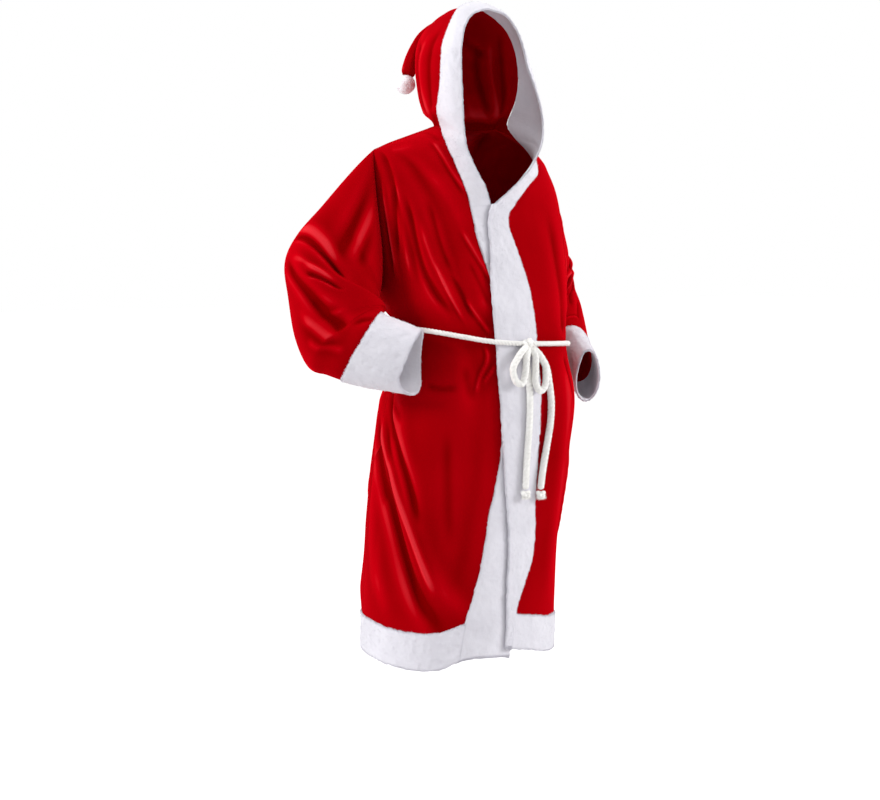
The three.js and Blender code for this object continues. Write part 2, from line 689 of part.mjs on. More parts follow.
// Point of a sleeve, angle 0 on the outer line, 90 in front, 180 on the inner line, 270 behind
function sleevePoint(side, angle, k) {
  const table = side < 0 ? SLEEVE_RIGHT : SLEEVE_LEFT;
  const station = (name) => column(table, k, name);
  const outerLine = new THREE.Vector3(station('ox'), station('oy'), station('oz'));
  const innerLine = new THREE.Vector3(station('ix'), station('iy'), station('iz'));
  const middle = outerLine.clone().add(innerLine).multiplyScalar(0.5);
  const half = outerLine.clone().sub(innerLine).multiplyScalar(0.5);
  const centre = (at) => new THREE.Vector3(
    column(table, at, 'ox') + column(table, at, 'ix'),
    column(table, at, 'oy') + column(table, at, 'iy'),
    column(table, at, 'oz') + column(table, at, 'iz'),
  );
  const inside = THREE.MathUtils.clamp(k, 0.05, CUFF_END - 0.05);
  const travel = centre(inside + 0.05).sub(centre(inside - 0.05));
  const straight = half.clone().normalize();
  const front = new THREE.Vector3(0, -1, 0).addScaledVector(straight, straight.y);
  front.lerp(travel.cross(half).multiplyScalar(side).normalize(), fade(k, 0, 4)).normalize();
  const c = Math.cos(THREE.MathUtils.degToRad(angle));
  const s = Math.sin(THREE.MathUtils.degToRad(angle));
  const depth = s >= 0 ? station('front') : station('back');
  const fold = foldHeight(SLEEVE_FOLDS, THREE.MathUtils.euclideanModulo(angle, 360), k, 90);
  const swell = 1 + fold / Math.max(depth, 60);
  const ring = middle.addScaledVector(half, signedPower(c, 0.95) * (1 + fold / 160));
  ring.addScaledVector(front, depth * swell * signedPower(s, 0.95));
  const turn = THREE.MathUtils.euclideanModulo(angle, 360);
  const down = ARMHOLE_DOWN * (1 - Math.cos(THREE.MathUtils.degToRad(turn))) / 2;
  const edge = side * armAngle(Math.min(down, ARMHOLE_DOWN - 0.001), turn <= 180 ? 'front' : 'back');
  const arm = bodyPoint(edge, down);
  arm.x += side * ARMHOLE_GAP;
  return arm.lerp(ring, fade(k, 0, 2));
}

function sleevePiece(side, rows, low, high) {
  const surface = (angle, k) => sleevePoint(side, angle, k);
  const outer = [];
  const inner = [];
  for (const k of rows) {
    const outerRow = [];
    const innerRow = [];
    for (let i = 0; i < 2 * ARM_ROWS; i += 1) {
      const angle = 180 * i / ARM_ROWS;
      const point = surface(angle, k);
      const at = Math.max(k, 0.1);
      const normal = normalOf(surface, angle, at, 1.5, 0.06);
      const top = Math.max(Math.cos(THREE.MathUtils.degToRad(angle)), 0) ** 4;
      normal.lerp(new THREE.Vector3(0, 0, side), top * (1 - fade(k, 0, 1))).normalize();
      outerRow.push(point.clone().addScaledVector(normal, high));
      innerRow.push(point.clone().addScaledVector(normal, low));
    }
    outer.push(outerRow);
    inner.push(innerRow);
  }
  return solidOf(outer, inner, true);
}

// Signed so that high lies outside whichever way the surface runs
function sleeve(side, from, to, count, low, high) {
  const rows = steps(count).map((t) => mix(from, to, t));
  return sleevePiece(side, rows, side * low, side * high);
}

// Ring of points about a middle in the plane of two directions
function ringOf(middle, across, deep, count) {
  return Array.from({ length: count }, (_, i) => {
    const angle = 2 * Math.PI * i / count;
    return middle.clone().addScaledVector(across, Math.cos(angle)).addScaledVector(deep, Math.sin(angle));
  });
}

// Sections of a tube along a path, two fixed rules for the directions: across is level
function tubeRings(path, wide, deep, count) {
  return path.map((point, i) => {
    const before = path[Math.max(i - 1, 0)];
    const after = path[Math.min(i + 1, path.length - 1)];
    const travel = after.clone().sub(before).normalize();
    const across = new THREE.Vector3(0, 1, 0).cross(travel).normalize();
    const other = travel.clone().cross(across);
    const share = i / (path.length - 1);
    return ringOf(point, across.multiplyScalar(wide(share)), other.multiplyScalar(deep(share)), count);
  });
}

// One body from several that run into each other
function joined(geometries) {
  const solids = geometries.map((geometry) => new kernel.Manifold(new kernel.Mesh({
    numProp: 3,
    vertProperties: geometry.getAttribute('position').array,
    triVerts: new Uint32Array(geometry.index.array),
  })));
  const whole = kernel.Manifold.union(solids).getMesh();
  const geometry = new THREE.BufferGeometry();
  geometry.setAttribute('position', new THREE.Float32BufferAttribute(whole.vertProperties, whole.numProp));
  geometry.setIndex(new THREE.Uint32BufferAttribute(whole.triVerts, 1));
  geometry.computeVertexNormals();
  return geometry;
}

// Closed body from rings, capped at both ends
function ringBody(rings) {
  const cols = rings[0].length;
  const index = [];
  const rows = rings.length;
  const at = (r, c) => r * cols + (c % cols);
  for (let r = 0; r < rows - 1; r += 1) {
    for (let c = 0; c < cols; c += 1) {
      index.push(at(r, c), at(r, c + 1), at(r + 1, c + 1), at(r, c), at(r + 1, c + 1), at(r + 1, c));
    }
  }
  for (let c = 1; c < cols - 1; c += 1) {
    index.push(at(0, 0), at(0, c + 1), at(0, c));
    index.push(at(rows - 1, 0), at(rows - 1, c), at(rows - 1, c + 1));
  }
  const positions = rings.flat().flatMap((p) => [p.x, p.y, p.z]);
  return closedGeometry(positions, index);
}

// Tail of the hood, a hollow cone of velvet
function hoodTail() {
  const get = (s, name) => column(TAIL, s, name);
  const path = steps(7).map((s) => new THREE.Vector3(get(s, 'x'), get(s, 'y'), get(s, 'z')));
  const outer = tubeRings(path, (s) => get(s, 'wide'), (s) => get(s, 'deep'), 14);
  const inner = tubeRings(path, (s) => get(s, 'wide') - VELVET, (s) => get(s, 'deep') - VELVET, 14);
  return solidOf(outer, inner, true);
}

// Round body with lumps, for the pompom and the knots
function roundBody(middle, wide, deep, tall, cols, rows) {
  const rings = [];
  for (let r = 1; r < rows; r += 1) {
    const polar = Math.PI * r / rows;
    const at = middle.clone().add(new THREE.Vector3(0, 0, tall * Math.cos(polar)));
    const across = new THREE.Vector3(wide * Math.sin(polar), 0, 0);
    rings.push(ringOf(at, across, new THREE.Vector3(0, deep * Math.sin(polar), 0), cols));
  }
  return ringBody(rings);
}

// Point in front of the body by x and height, standing off it
function frontPoint(x, z, off) {
  const down = 20 - z;
  const angle = angleOfX(x, down);
  const point = bodyPoint(angle, down);
  const normal = new THREE.Vector3(point.x - column(BODY, down, 'midX'), point.y - column(BODY, down, 'midY'), 0);
  return point.addScaledVector(normal.normalize(), off);
}

// Rope round the waist
function waistRope() {
  const line = (turn) => {
    const angle = THREE.MathUtils.euclideanModulo(turn + 180, 360) - 180;
    const down = 20 - column(BELT, angle, 'z');
    const point = bodyPoint(angle, down);
    const out = new THREE.Vector3(
      point.x - column(BODY, down, 'midX'),
      point.y - column(BODY, down, 'midY'),
      0,
    ).normalize();
    return { point: point.addScaledVector(out, column(BELT, angle, 'off')), out };
  };
  const start = angleOfX(KNOT.x, 20 - KNOT.z);
  const rings = steps(BELT_STEPS).map((t) => {
    const turn = start + 360 * t;
    const here = line(turn);
    const travel = line(turn + 1).point.sub(line(turn - 1).point).normalize();
    const up = here.out.clone().cross(travel).normalize();
    const out = travel.clone().cross(up).normalize();
    return ringOf(here.point, out.multiplyScalar(ROPE / 2), up.multiplyScalar(ROPE / 2), ROPE_SIDES);
  });
  const half = Math.round(BELT_STEPS / 2);
  return [ringBody(rings.slice(0, half + 1)), ringBody(rings.slice(half - 1))];
}

function strand(table, count) {
  const path = steps(count).map((s) => frontPoint(column(table, s, 'x'), column(table, s, 'z'), column(table, s, 'off')));
  return ringBody(tubeRings(path, () => ROPE / 2, () => ROPE / 2, ROPE_SIDES));
}

// Belt in one piece: the rope round the waist, its knot and the two bow loops
function belt() {
  const middle = frontPoint(KNOT.x, KNOT.z, KNOT.off);
  const knot = roundBody(middle, KNOT.wide, KNOT.deep, KNOT.tall, 12, 8);
  return joined([...waistRope(), knot, strand(BOW_RIGHT, 20), strand(BOW_LEFT, 20)]);
}

function endKnot(table) {
  const drop = END_KNOT.tall * Math.cos(Math.PI / END_KNOT.rows) + END_KNOT.gap;
  const off = column(table, 1, 'off') + END_KNOT.forward;
  const middle = frontPoint(column(table, 1, 'x'), column(table, 1, 'z') - drop, off);
  return roundBody(middle, END_KNOT.wide, END_KNOT.deep, END_KNOT.tall, END_KNOT.sides, END_KNOT.rows);
}

const materials = {
  velvet: { color: 0xb8040f, roughness: 0.62, metalness: 0 },
  plush: { color: 0xf2f1f4, roughness: 0.9, metalness: 0 },
  rope: { color: 0xeeeae4, roughness: 0.8, metalness: 0 },
};

function named(name, material, geometry) {
  const mesh = new THREE.Mesh(geometry, new THREE.MeshStandardMaterial(materials[material]));
  mesh.name = name;
  return mesh;
}

const robe = new THREE.Group();
robe.name = 'santa_robe';
robe.add(
  named('back', 'velvet', backPanel(panelRows, -VELVET, 0)),
  named('front_right', 'velvet', frontPanel(-1, panelRows, FRONT_RIGHT_COLS, -VELVET, 0)),
  named('front_left', 'velvet', frontPanel(1, panelRows, FRONT_LEFT_COLS, -VELVET, 0)),
  named('sleeve_right', 'velvet', sleeve(-1, 0, SLEEVE_END - CUFF_GAP, SLEEVE_ROWS, -VELVET, 0)),
  named('sleeve_left', 'velvet', sleeve(1, 0, SLEEVE_END - CUFF_GAP, SLEEVE_ROWS, -VELVET, 0)),
  named('cuff_right', 'plush', sleeve(-1, SLEEVE_END + CUFF_GAP, CUFF_END, 3, PLUSH_PROUD - PLUSH, PLUSH_PROUD)),
  named('cuff_left', 'plush', sleeve(1, SLEEVE_END + CUFF_GAP, CUFF_END, 3, PLUSH_PROUD - PLUSH, PLUSH_PROUD)),
  named('hood_right', 'velvet', hoodHalf(-1)),
  named('hood_left', 'velvet', hoodHalf(1)),
  named('hood_trim', 'plush', hoodTrim()),
  named('hood_tail', 'velvet', hoodTail()),
  named('pompom', 'plush', roundBody(new THREE.Vector3(POMPOM.x, POMPOM.y, POMPOM.z), POMPOM.radius, POMPOM.radius,
    POMPOM.radius, 14, 9)),
  named('band_right', 'plush', frontBand(-1)),
  named('band_left', 'plush', frontBand(1)),
  named('hem_back', 'plush', backPanel(hemRows, PLUSH_PROUD - PLUSH, PLUSH_PROUD)),
  named('hem_right', 'plush', frontPanel(-1, hemRows, FRONT_RIGHT_COLS, PLUSH_PROUD - PLUSH, PLUSH_PROUD)),
  named('hem_left', 'plush', frontPanel(1, hemRows, FRONT_LEFT_COLS, PLUSH_PROUD - PLUSH, PLUSH_PROUD)),
  named('belt', 'rope', belt()),
  named('belt_end_right', 'rope', strand(END_RIGHT, 16)),
  named('belt_end_left', 'rope', strand(END_LEFT, 18)),
  named('end_knot_right', 'rope', endKnot(END_RIGHT)),
  named('end_knot_left', 'rope', endKnot(END_LEFT)),
);

export default robe;
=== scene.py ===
# %% [markdown]
# # A hooded velvet robe with plush trims and a rope belt
#
# The robe is thin cloth that keeps the form of the figure which wore it: two velvet fronts and a
# back, wide sleeves, a hood with a hanging point, and white plush round every edge.
# The frame that is loaded here holds one plain solid for each sewn piece. This lesson builds each
# piece again, finer, on the same surfaces, so that everything fits without moving anything.

import json
import math

import bpy
import numpy as np
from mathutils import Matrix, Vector

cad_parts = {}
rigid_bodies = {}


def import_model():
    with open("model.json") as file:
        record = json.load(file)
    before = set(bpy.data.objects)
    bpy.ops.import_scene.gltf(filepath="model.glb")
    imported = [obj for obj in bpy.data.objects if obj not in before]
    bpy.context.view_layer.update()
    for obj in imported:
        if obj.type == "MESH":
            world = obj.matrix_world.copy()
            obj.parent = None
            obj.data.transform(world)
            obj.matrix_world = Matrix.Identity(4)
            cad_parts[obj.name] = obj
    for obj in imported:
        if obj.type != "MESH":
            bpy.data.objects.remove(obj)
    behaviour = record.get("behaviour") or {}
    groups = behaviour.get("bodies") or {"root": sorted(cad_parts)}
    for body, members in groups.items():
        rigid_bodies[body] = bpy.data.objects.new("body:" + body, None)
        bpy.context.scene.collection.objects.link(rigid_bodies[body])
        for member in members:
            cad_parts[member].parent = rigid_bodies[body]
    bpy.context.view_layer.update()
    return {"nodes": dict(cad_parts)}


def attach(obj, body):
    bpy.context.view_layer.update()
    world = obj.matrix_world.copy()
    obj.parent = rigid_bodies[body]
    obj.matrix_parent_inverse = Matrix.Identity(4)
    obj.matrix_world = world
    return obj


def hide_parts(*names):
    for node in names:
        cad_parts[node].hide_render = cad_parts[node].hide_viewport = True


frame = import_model()
BODY = "root"
MM = 0.001
print("nodes in the frame:", len(frame["nodes"]))

# %% [markdown]
# ## Camera
#
# The view is from the front right of the robe and a little below the shoulders, nearly level.
# A camera could be aimed with a constraint, but a place and a direction worked out once are
# easier to check. The long lens keeps the proportions of the cloth.

# %% Camera at the viewing angle
EYE = Vector((-2.689, -3.733, -0.265))
HEADING = math.radians(35)
PITCH = math.radians(4.66)
LENS = 79.73
SENSOR = 36

aim = Vector((
    math.sin(HEADING) * math.cos(PITCH),
    math.cos(HEADING) * math.cos(PITCH),
    -math.sin(PITCH),
))
camera_data = bpy.data.cameras.new("camera")
camera_data.lens = LENS
camera_data.sensor_width = SENSOR
camera = bpy.data.objects.new("camera", camera_data)
camera.location = EYE
camera.rotation_mode = "QUATERNION"
camera.rotation_quaternion = aim.to_track_quat("-Z", "Y")
bpy.context.collection.objects.link(camera)
bpy.context.scene.camera = camera
bpy.context.scene.view_settings.view_transform = "Standard"
print("camera looks along", [round(value, 3) for value in aim])

# %% [markdown]
# ## Short tables and smooth curves
#
# A pattern maker keeps a few measures for each height of a garment and draws a smooth line
# through them. The tables below do the same: one row for each height or station, and a cubic
# through the rows. Drawing every point by hand would be longer and less even.
# All sizes are millimetres until a mesh is made.


# %% Tables, columns and small curves
def table(columns, rows):
    """A short table with named columns; the first column is what the others are looked up by."""
    return {"columns": columns.split(), "rows": np.array(rows, float)}


def column(tab, x, name):
    """Value of a named column at x: a cubic through the rows, with the slopes of its neighbours."""
    keys = tab["rows"][:, 0]
    values = tab["rows"][:, tab["columns"].index(name)]
    x = np.asarray(x, float)
    gaps = np.diff(keys)
    slopes = np.diff(values) / gaps
    inner = (slopes[:-1] * gaps[1:] + slopes[1:] * gaps[:-1]) / (gaps[:-1] + gaps[1:])
    tangents = np.concatenate([slopes[:1], inner, slopes[-1:]])
    i = np.clip(np.searchsorted(keys, x, side="right") - 1, 0, len(keys) - 2)
    h = gaps[i]
    t = np.clip((x - keys[i]) / h, 0, 1)
    t2, t3 = t * t, t * t * t
    start = (2 * t3 - 3 * t2 + 1) * values[i] + (t3 - 2 * t2 + t) * h * tangents[i]
    end = (3 * t2 - 2 * t3) * values[i + 1] + (t3 - t2) * h * tangents[i + 1]
    return start + end


def fade(x, start, end):
    """Smooth step: 0 before start, 1 after end, an S-curve between them."""
    t = np.clip((np.asarray(x, float) - start) / (end - start), 0, 1)
    return t * t * (3 - 2 * t)


def signed_power(value, power):
    """The value's sign times its size to a power."""
    return np.sign(value) * np.abs(value) ** power


def mix(a, b, share):
    """The point a share of the way from a to b."""
    return a + (b - a) * share


def unit(vectors):
    """Each vector divided by its length."""
    return vectors / np.maximum(np.linalg.norm(vectors, axis=-1, keepdims=True), 1e-9)


def steps(count):
    """Even steps from 0 to 1."""
    return np.linspace(0, 1, count + 1)


def gathered_steps(count, share=0.6):
    """Steps from 0 to 1 that stand closer together at both ends."""
    t = steps(count)
    return mix(t, (1 - np.cos(np.pi * t)) / 2, share)


def side_name(side):
    """Name of a side: -1 is the right of the wearer, 1 the left."""
    return "right" if side < 0 else "left"


print("half way through an S-curve from 0 to 10:", float(fade(5, 0, 10)))

# %% [markdown]
# ## Folds and creases as heights
#
# A fold is drawn as a line on the cloth laid flat, with a height and a width. Simulated cloth
# would crease somewhere else on every run, while a drawn line stays where the photograph shows
# it. A ridge has a positive height and a trough a negative one.

# %% Heights of folds and creases
LEAN_PEAK = 2.33


def fold_height(tab, angle, along, radius):
    """Sum of soft troughs and ridges. Each runs along a bowed line from (a0, d0) to (a1, d1).
    Across the line it falls off as a bell of its width, and it fades at its ends."""
    total = np.zeros(np.broadcast(angle, along).shape)
    for a0, d0, a1, d1, bow, height, width, fade_in, fade_out, power in tab["rows"]:
        length = abs(d1 - d0)
        u = (along - d0) / (d1 - d0)
        line = a0 + (a1 - a0) * u + 4 * bow * u * (1 - u)
        off = (angle - line + 180) % 360 - 180
        distance = np.abs(np.radians(off) * radius)
        ends = fade(u, -fade_in / length, 0) * (1 - fade(u, 1, 1 + fade_out / length))
        total = total + height * np.exp(-((distance / width) ** power)) * ends
    return total


def smoothed(line):
    """The same broken line with its corners cut twice: a quarter off both ends of each stretch."""
    line = np.array(line, float)
    for _ in range(2):
        cut = np.stack([mix(line[:-1], line[1:], 0.25), mix(line[:-1], line[1:], 0.75)], 1)
        line = np.concatenate([line[:1], cut.reshape(-1, 2), line[-1:]])
    return line


def crease_height(creases, angle, along, radius, reach=1.0):
    """Sum of creases, each given as (height, width, lean, taper, line). The line runs through
    points (angle, along) on the cloth laid flat. The height falls off as a bell of the distance
    to it and fades over the taper at both ends. With lean 1 there is a ridge on one side of the
    line and a trough on the other, as where cloth folds over itself."""
    total = np.zeros(np.broadcast(angle, along).shape)
    radius = np.broadcast_to(radius, total.shape)[..., None]
    for height, width, lean, taper, line in creases:
        line = smoothed(line)
        middle = line[:, 0].mean()
        turn = (middle - angle[..., None] + 180) % 360 - 180 + line[:, 0] - middle
        across = np.radians(turn) * radius
        down = (line[:, 1] - along[..., None]) * reach
        step_x, step_y = np.diff(across), np.diff(down)
        span = np.maximum(np.hypot(step_x, step_y), 1e-6)
        x, y = across[..., :-1], down[..., :-1]
        share = np.clip(-(x * step_x + y * step_y) / span**2, 0, 1)
        x, y = x + share * step_x, y + share * step_y
        distance = np.hypot(x, y)
        nearest = distance.argmin(-1)[..., None]
        pick = lambda values: np.take_along_axis(values, nearest, -1)[..., 0]
        ahead = span.sum(-1)
        behind = pick(np.cumsum(span, -1) + (share - 1) * span)
        ends = fade(behind, 0, taper) * fade(ahead - behind, 0, taper)
        off = pick(distance) / width
        side = np.sign(pick(step_x * y - step_y * x))
        bell = np.exp(-off * off)
        total = total + height * ends * bell * mix(1, LEAN_PEAK * side * off, lean)
    return total


highest = LEAN_PEAK * math.exp(-0.5) / math.sqrt(2)
print("a leaning crease rises to its height times", round(highest, 2))

# %% [markdown]
# ## Body of the robe
#
# Fronts, back, bands and hem all lie on one surface, as cloth on one figure does. It is a stack
# of rounded sections: wide and flat at the shoulders, gathered a little at the belt, then
# nearly straight to the hem. The large folds in the last table are the ones that the solids
# have. All angles are degrees from the front middle, positive to the wearer's left.

# %% Body sections
ROUNDNESS = 2.25
NECK_HALF, NECK_BACK, NECK_DIP = 84, 55, 22
HEM_DOWN, HEM_BAND, ARMHOLE_DOWN = 1255, 82, 400
SIDE_SEAM = 110
SHOULDER_DROP = 3

BODY_FORM = table("down z rise half front back mid_x mid_y narrow drop", [
    [0, -54, 84, 258, 0, 0, 0, 0, 30, 26],
    [30, -59, 82, 260, 34, 34, 0, 0, 31, 25],
    [60, -71, 77, 260, 62, 60, 0, 0, 31, 22],
    [95, -94, 70, 258, 88, 83, 0, 0, 29, 17],
    [150, -140, 54, 254, 118, 104, 2, 0, 18, 10],
    [230, -212, 28, 247, 140, 118, 5, -5, 6, 2],
    [320, -300, 8, 238, 152, 124, 10, -11, 0, 0],
    [410, -390, 0, 228, 158, 126, 16, -18, 0, 0],
    [520, -500, 0, 214, 156, 124, 22, -26, 0, 0],
    [560, -540, 0, 219, 161, 132, 22, -27, 0, 0],
    [640, -620, 0, 235, 173, 150, 20, -28, 0, 0],
    [800, -780, 0, 238, 180, 166, 4, -18, 0, 0],
    [1000, -980, 0, 235, 184, 176, -18, -4, 0, 0],
    [1255, -1235, 0, 235, 188, 184, -26, 2, 0, 0],
])
ARMHOLE = table("down front back", [
    [0, 90, 90], [30, 90, 97], [60, 91, 104], [110, 92, 114], [170, 94, 121],
    [240, 97, 124], [320, 102, 121], [375, 107, 115], [400, 110, 110],
])
EDGE = table("down right left right_inner left_inner", [
    [0, -84, 84, -84, 84], [50, -103, 116, -60, 60], [88, -109, 135, -40, 50],
    [137, -103, 126, -10, 30], [187, -92, 68, 10, -10], [224, -86, 27, 26, -34],
    [250, -83, 2, 32, -46], [280, -79, 4, 36, -49], [311, -71, 16, 38, -49],
    [348, -60, 30, 40, -52], [390, -49, 43, 44, -53], [417, -46, 48, 46, -52],
    [463, -42, 55, 48, -49], [520, -39, 59, 50, -45], [600, -42, 59, 50, -47],
    [690, -41, 54, 50, -46], [786, -45, 52, 46, -38], [850, -56, 50, 42, -32],
    [905, -68, 49, 38, -27], [966, -77, 54, 34, -22], [1044, -89, 43, 28, -21],
    [1100, -104, 21, 20, -23], [1138, -116, 6, 12, -24], [1169, -125, -2, 3, -24],
    [1255, -142, -12, -12, -26],
])
FOLD_COLUMNS = "a0 d0 a1 d1 bow height width fade_in fade_out power"
BODY_FOLDS = table(FOLD_COLUMNS, [
    [-125, 360, -120, 430, 0, 24, 80, 110, 46, 2],
    [-100, 660, -50, 1110, -8, -8, 24, 120, 90, 2],
    [-88, 620, -36, 1080, -6, 5, 26, 140, 120, 2],
    [-118, 700, -88, 1060, 0, 9, 30, 120, 120, 2],
    [-30, 560, -26, 1000, 4, -6, 26, 160, 140, 2],
    [-72, 90, -66, 300, 0, -7, 16, 60, 120, 2],
    [-50, 120, -34, 400, 4, -6, 18, 60, 80, 2],
    [-34, 170, -20, 420, 4, 6, 16, 80, 60, 2],
    [32, 300, 40, 480, 0, -6, 18, 100, 30, 2],
    [58, 560, 66, 1080, 4, -9, 24, 60, 120, 2],
    [30, 620, 34, 1000, 0, 6, 24, 120, 160, 2],
    [86, 600, 84, 1100, -4, 8, 28, 80, 120, 2],
    [150, 560, 146, 1120, 4, -12, 26, 80, 110, 2],
    [176, 540, 182, 1120, 0, 10, 30, 90, 120, 2],
    [206, 580, 214, 1110, -4, -12, 26, 90, 110, 2],
    [232, 620, 236, 1100, 0, 9, 28, 90, 110, 2],
    [128, 640, 122, 1090, 0, 8, 26, 90, 110, 2],
    [160, 160, 166, 420, 0, -7, 22, 80, 60, 2],
    [202, 160, 196, 420, 0, -7, 22, 80, 60, 2],
])


print("large folds of the body:", len(BODY_FOLDS["rows"]))

# %% [markdown]
# ## Creases that velvet gets where it is pulled
#
# These are finer than the folds: from the belt up over the chest, below the belt, in the
# armhole and down the skirt. Each row is height, width, lean and taper, and then the line.
# Creases of the same kind are uneven in length, depth and spacing, and the back has its own.

# %% Creases of the body
BODY_CREASES = [
    (-5, 9, 0, 90, [(-85, 190), (-87, 270), (-88, 340), (-90, 395)]),
    (5, 9, 0, 80, [(-80, 120), (-81, 220), (-83, 300), (-84, 390)]),
    (-7, 10, 0.2, 60, [(-70, 140), (-75, 220), (-80, 330)]),
    (5, 11, 0, 60, [(-66, 120), (-68, 260), (-70, 380)]),
    (-9, 11, 0.3, 70, [(-62, 170), (-62, 342), (-52, 416), (-42, 462)]),
    (-6, 9, 0.2, 50, [(-47, 190), (-44, 306), (-38, 380)]),
    (5, 9, 0, 60, [(-54, 230), (-50, 330), (-40, 430)]),
    (4.5, 5, 0.5, 34, [(-28, 262), (-20, 330), (-13, 392)]),
    (5, 5.5, 0.5, 40, [(-49, 330), (-43, 408), (-35, 478)]),
    (-5, 7, 0.2, 40, [(-42, 350), (-34, 420), (-28, 470)]),
    (4.5, 5, 0.5, 24, [(-34, 412), (-24, 470), (-18, 502)]),
    (-2.4, 5, 0, 26, [(-26, 330), (-20, 400), (-16, 440)]),
    (4.5, 5, 0.5, 20, [(-24, 518), (-21, 552), (-28, 590), (-30, 632)]),
    (4, 4.5, 0.5, 18, [(-16, 562), (-26, 610)]),
    (-3, 8, 0.2, 24, [(-66, 612), (-54, 622), (-40, 618)]),
    (-2.5, 10, 0, 30, [(-38, 560), (-36, 600), (-30, 650)]),
    (5, 6, 0.6, 30, [(-30, 55), (-27, 137), (-20, 205)]),
    (-5, 6, 0.3, 22, [(-31, 8), (-29, 42), (-27, 84)]),
    (2.6, 13, 0, 20, [(-62, 52), (-50, 62), (-40, 60)]),
    (-3.5, 9, 0.2, 30, [(-104, 625), (-92, 660), (-80, 700)]),
    (-13, 12, 0.2, 90, [(-106, 630), (-95, 705), (-83, 760), (-70, 830), (-56, 940)]),
    (-13, 13, 0.2, 120, [
        (-122, 660), (-112, 750), (-97, 830), (-79, 925), (-65, 1015), (-49, 1145),
    ]),
    (12, 10, 0.1, 90, [(-112, 680), (-100, 750), (-87, 815), (-72, 890), (-58, 970), (-41, 1100)]),
    (7, 42, 0, 130, [(-134, 560), (-130, 690), (-126, 800), (-122, 930)]),
    (-5, 40, 0, 110, [(-126, 900), (-126, 1000), (-124, 1130)]),
    (-3, 14, 0, 80, [(-46, 700), (-40, 860), (-34, 990)]),
    (-3, 10, 0, 30, [(-100, 545), (-98, 590), (-92, 640)]),
    (-5, 8, 0.2, 30, [(34, 545), (38, 600), (46, 680)]),
    (5, 8, 0.3, 30, [(56, 420), (62, 450), (68, 488)]),
    (5, 7, 0.3, 50, [(48, 200), (56, 300), (61, 420)]),
    (-6, 9, 0.2, 50, [(70, 180), (72, 290), (66, 400)]),
    (-4, 9, 0.2, 40, [(60, 545), (64, 600), (69, 690)]),
    (5, 8, 0.3, 60, [(52, 760), (48, 880), (42, 1000)]),
    (-5, 9, 0.2, 80, [(64, 720), (66, 860), (62, 1000)]),
    (-4, 9, 0, 16, [(140, 425), (144, 450), (146, 484)]),
    (4, 10, 0, 40, [(168, 290), (172, 380), (177, 480)]),
    (-4, 8, 0, 30, [(190, 370), (186, 420), (184, 484)]),
    (-4, 9, 0, 26, [(216, 400), (212, 440), (208, 484)]),
    (-4, 9, 0, 30, [(134, 540), (130, 590), (124, 650)]),
    (-5, 10, 0, 44, [(168, 540), (164, 610), (160, 700)]),
    (-4, 9, 0, 34, [(196, 540), (199, 600), (204, 670)]),
    (4, 10, 0, 34, [(222, 540), (228, 600), (234, 680)]),
    (3.4, 6, 0.3, 40, [(150, 170), (158, 250), (170, 320)]),
    (3.4, 6, 0.3, 40, [(214, 150), (206, 240), (192, 330)]),
    (-3.5, 10, 0, 50, [(122, 150), (128, 250), (140, 360)]),
    (-3.5, 10, 0, 50, [(238, 160), (230, 260), (222, 380)]),
    (4, 8, 0.2, 60, [(150, 800), (158, 920), (170, 1060)]),
    (4, 8, 0.2, 60, [(236, 820), (226, 940), (214, 1090)]),
]
WRAP_LIFT, WRAP_RAISE = 9, 21
HEM_RAISE = table("angle raise", [
    [-180, 6], [-150, 10], [-125, 20], [-107, 17], [-92, 12], [-82, 5], [-69, -1], [-57, -4],
    [-45, -5], [-36, 0], [-28, 13], [-20, 19], [-11, 19], [-1, 16], [8, 8], [15, 3], [33, -11],
    [50, -5], [75, 5], [110, 8], [150, 4], [180, 6],
])
print("creases of the body:", len(BODY_CREASES))

# %% [markdown]
# ## Points of the body surface
#
# One function gives a point for an angle and a way down. The left front lies over the right
# one, so it is lifted a little near the middle, and the hem is drawn up unevenly. A front
# edge is known by its distance from the middle, which is turned into an angle here.


# %% Body surface

def rippled(angle, down):
    """Slow uneven waves of a millimetre or so: products of sines of the angle and the height."""
    a = np.radians(angle)
    return (
        0.9 * np.sin(3 * a + down / 61) * np.sin(down / 83 + 1.3)
        + 0.7 * np.sin(7 * a - down / 97 + 0.6) * fade(down, 60, 300)
    )


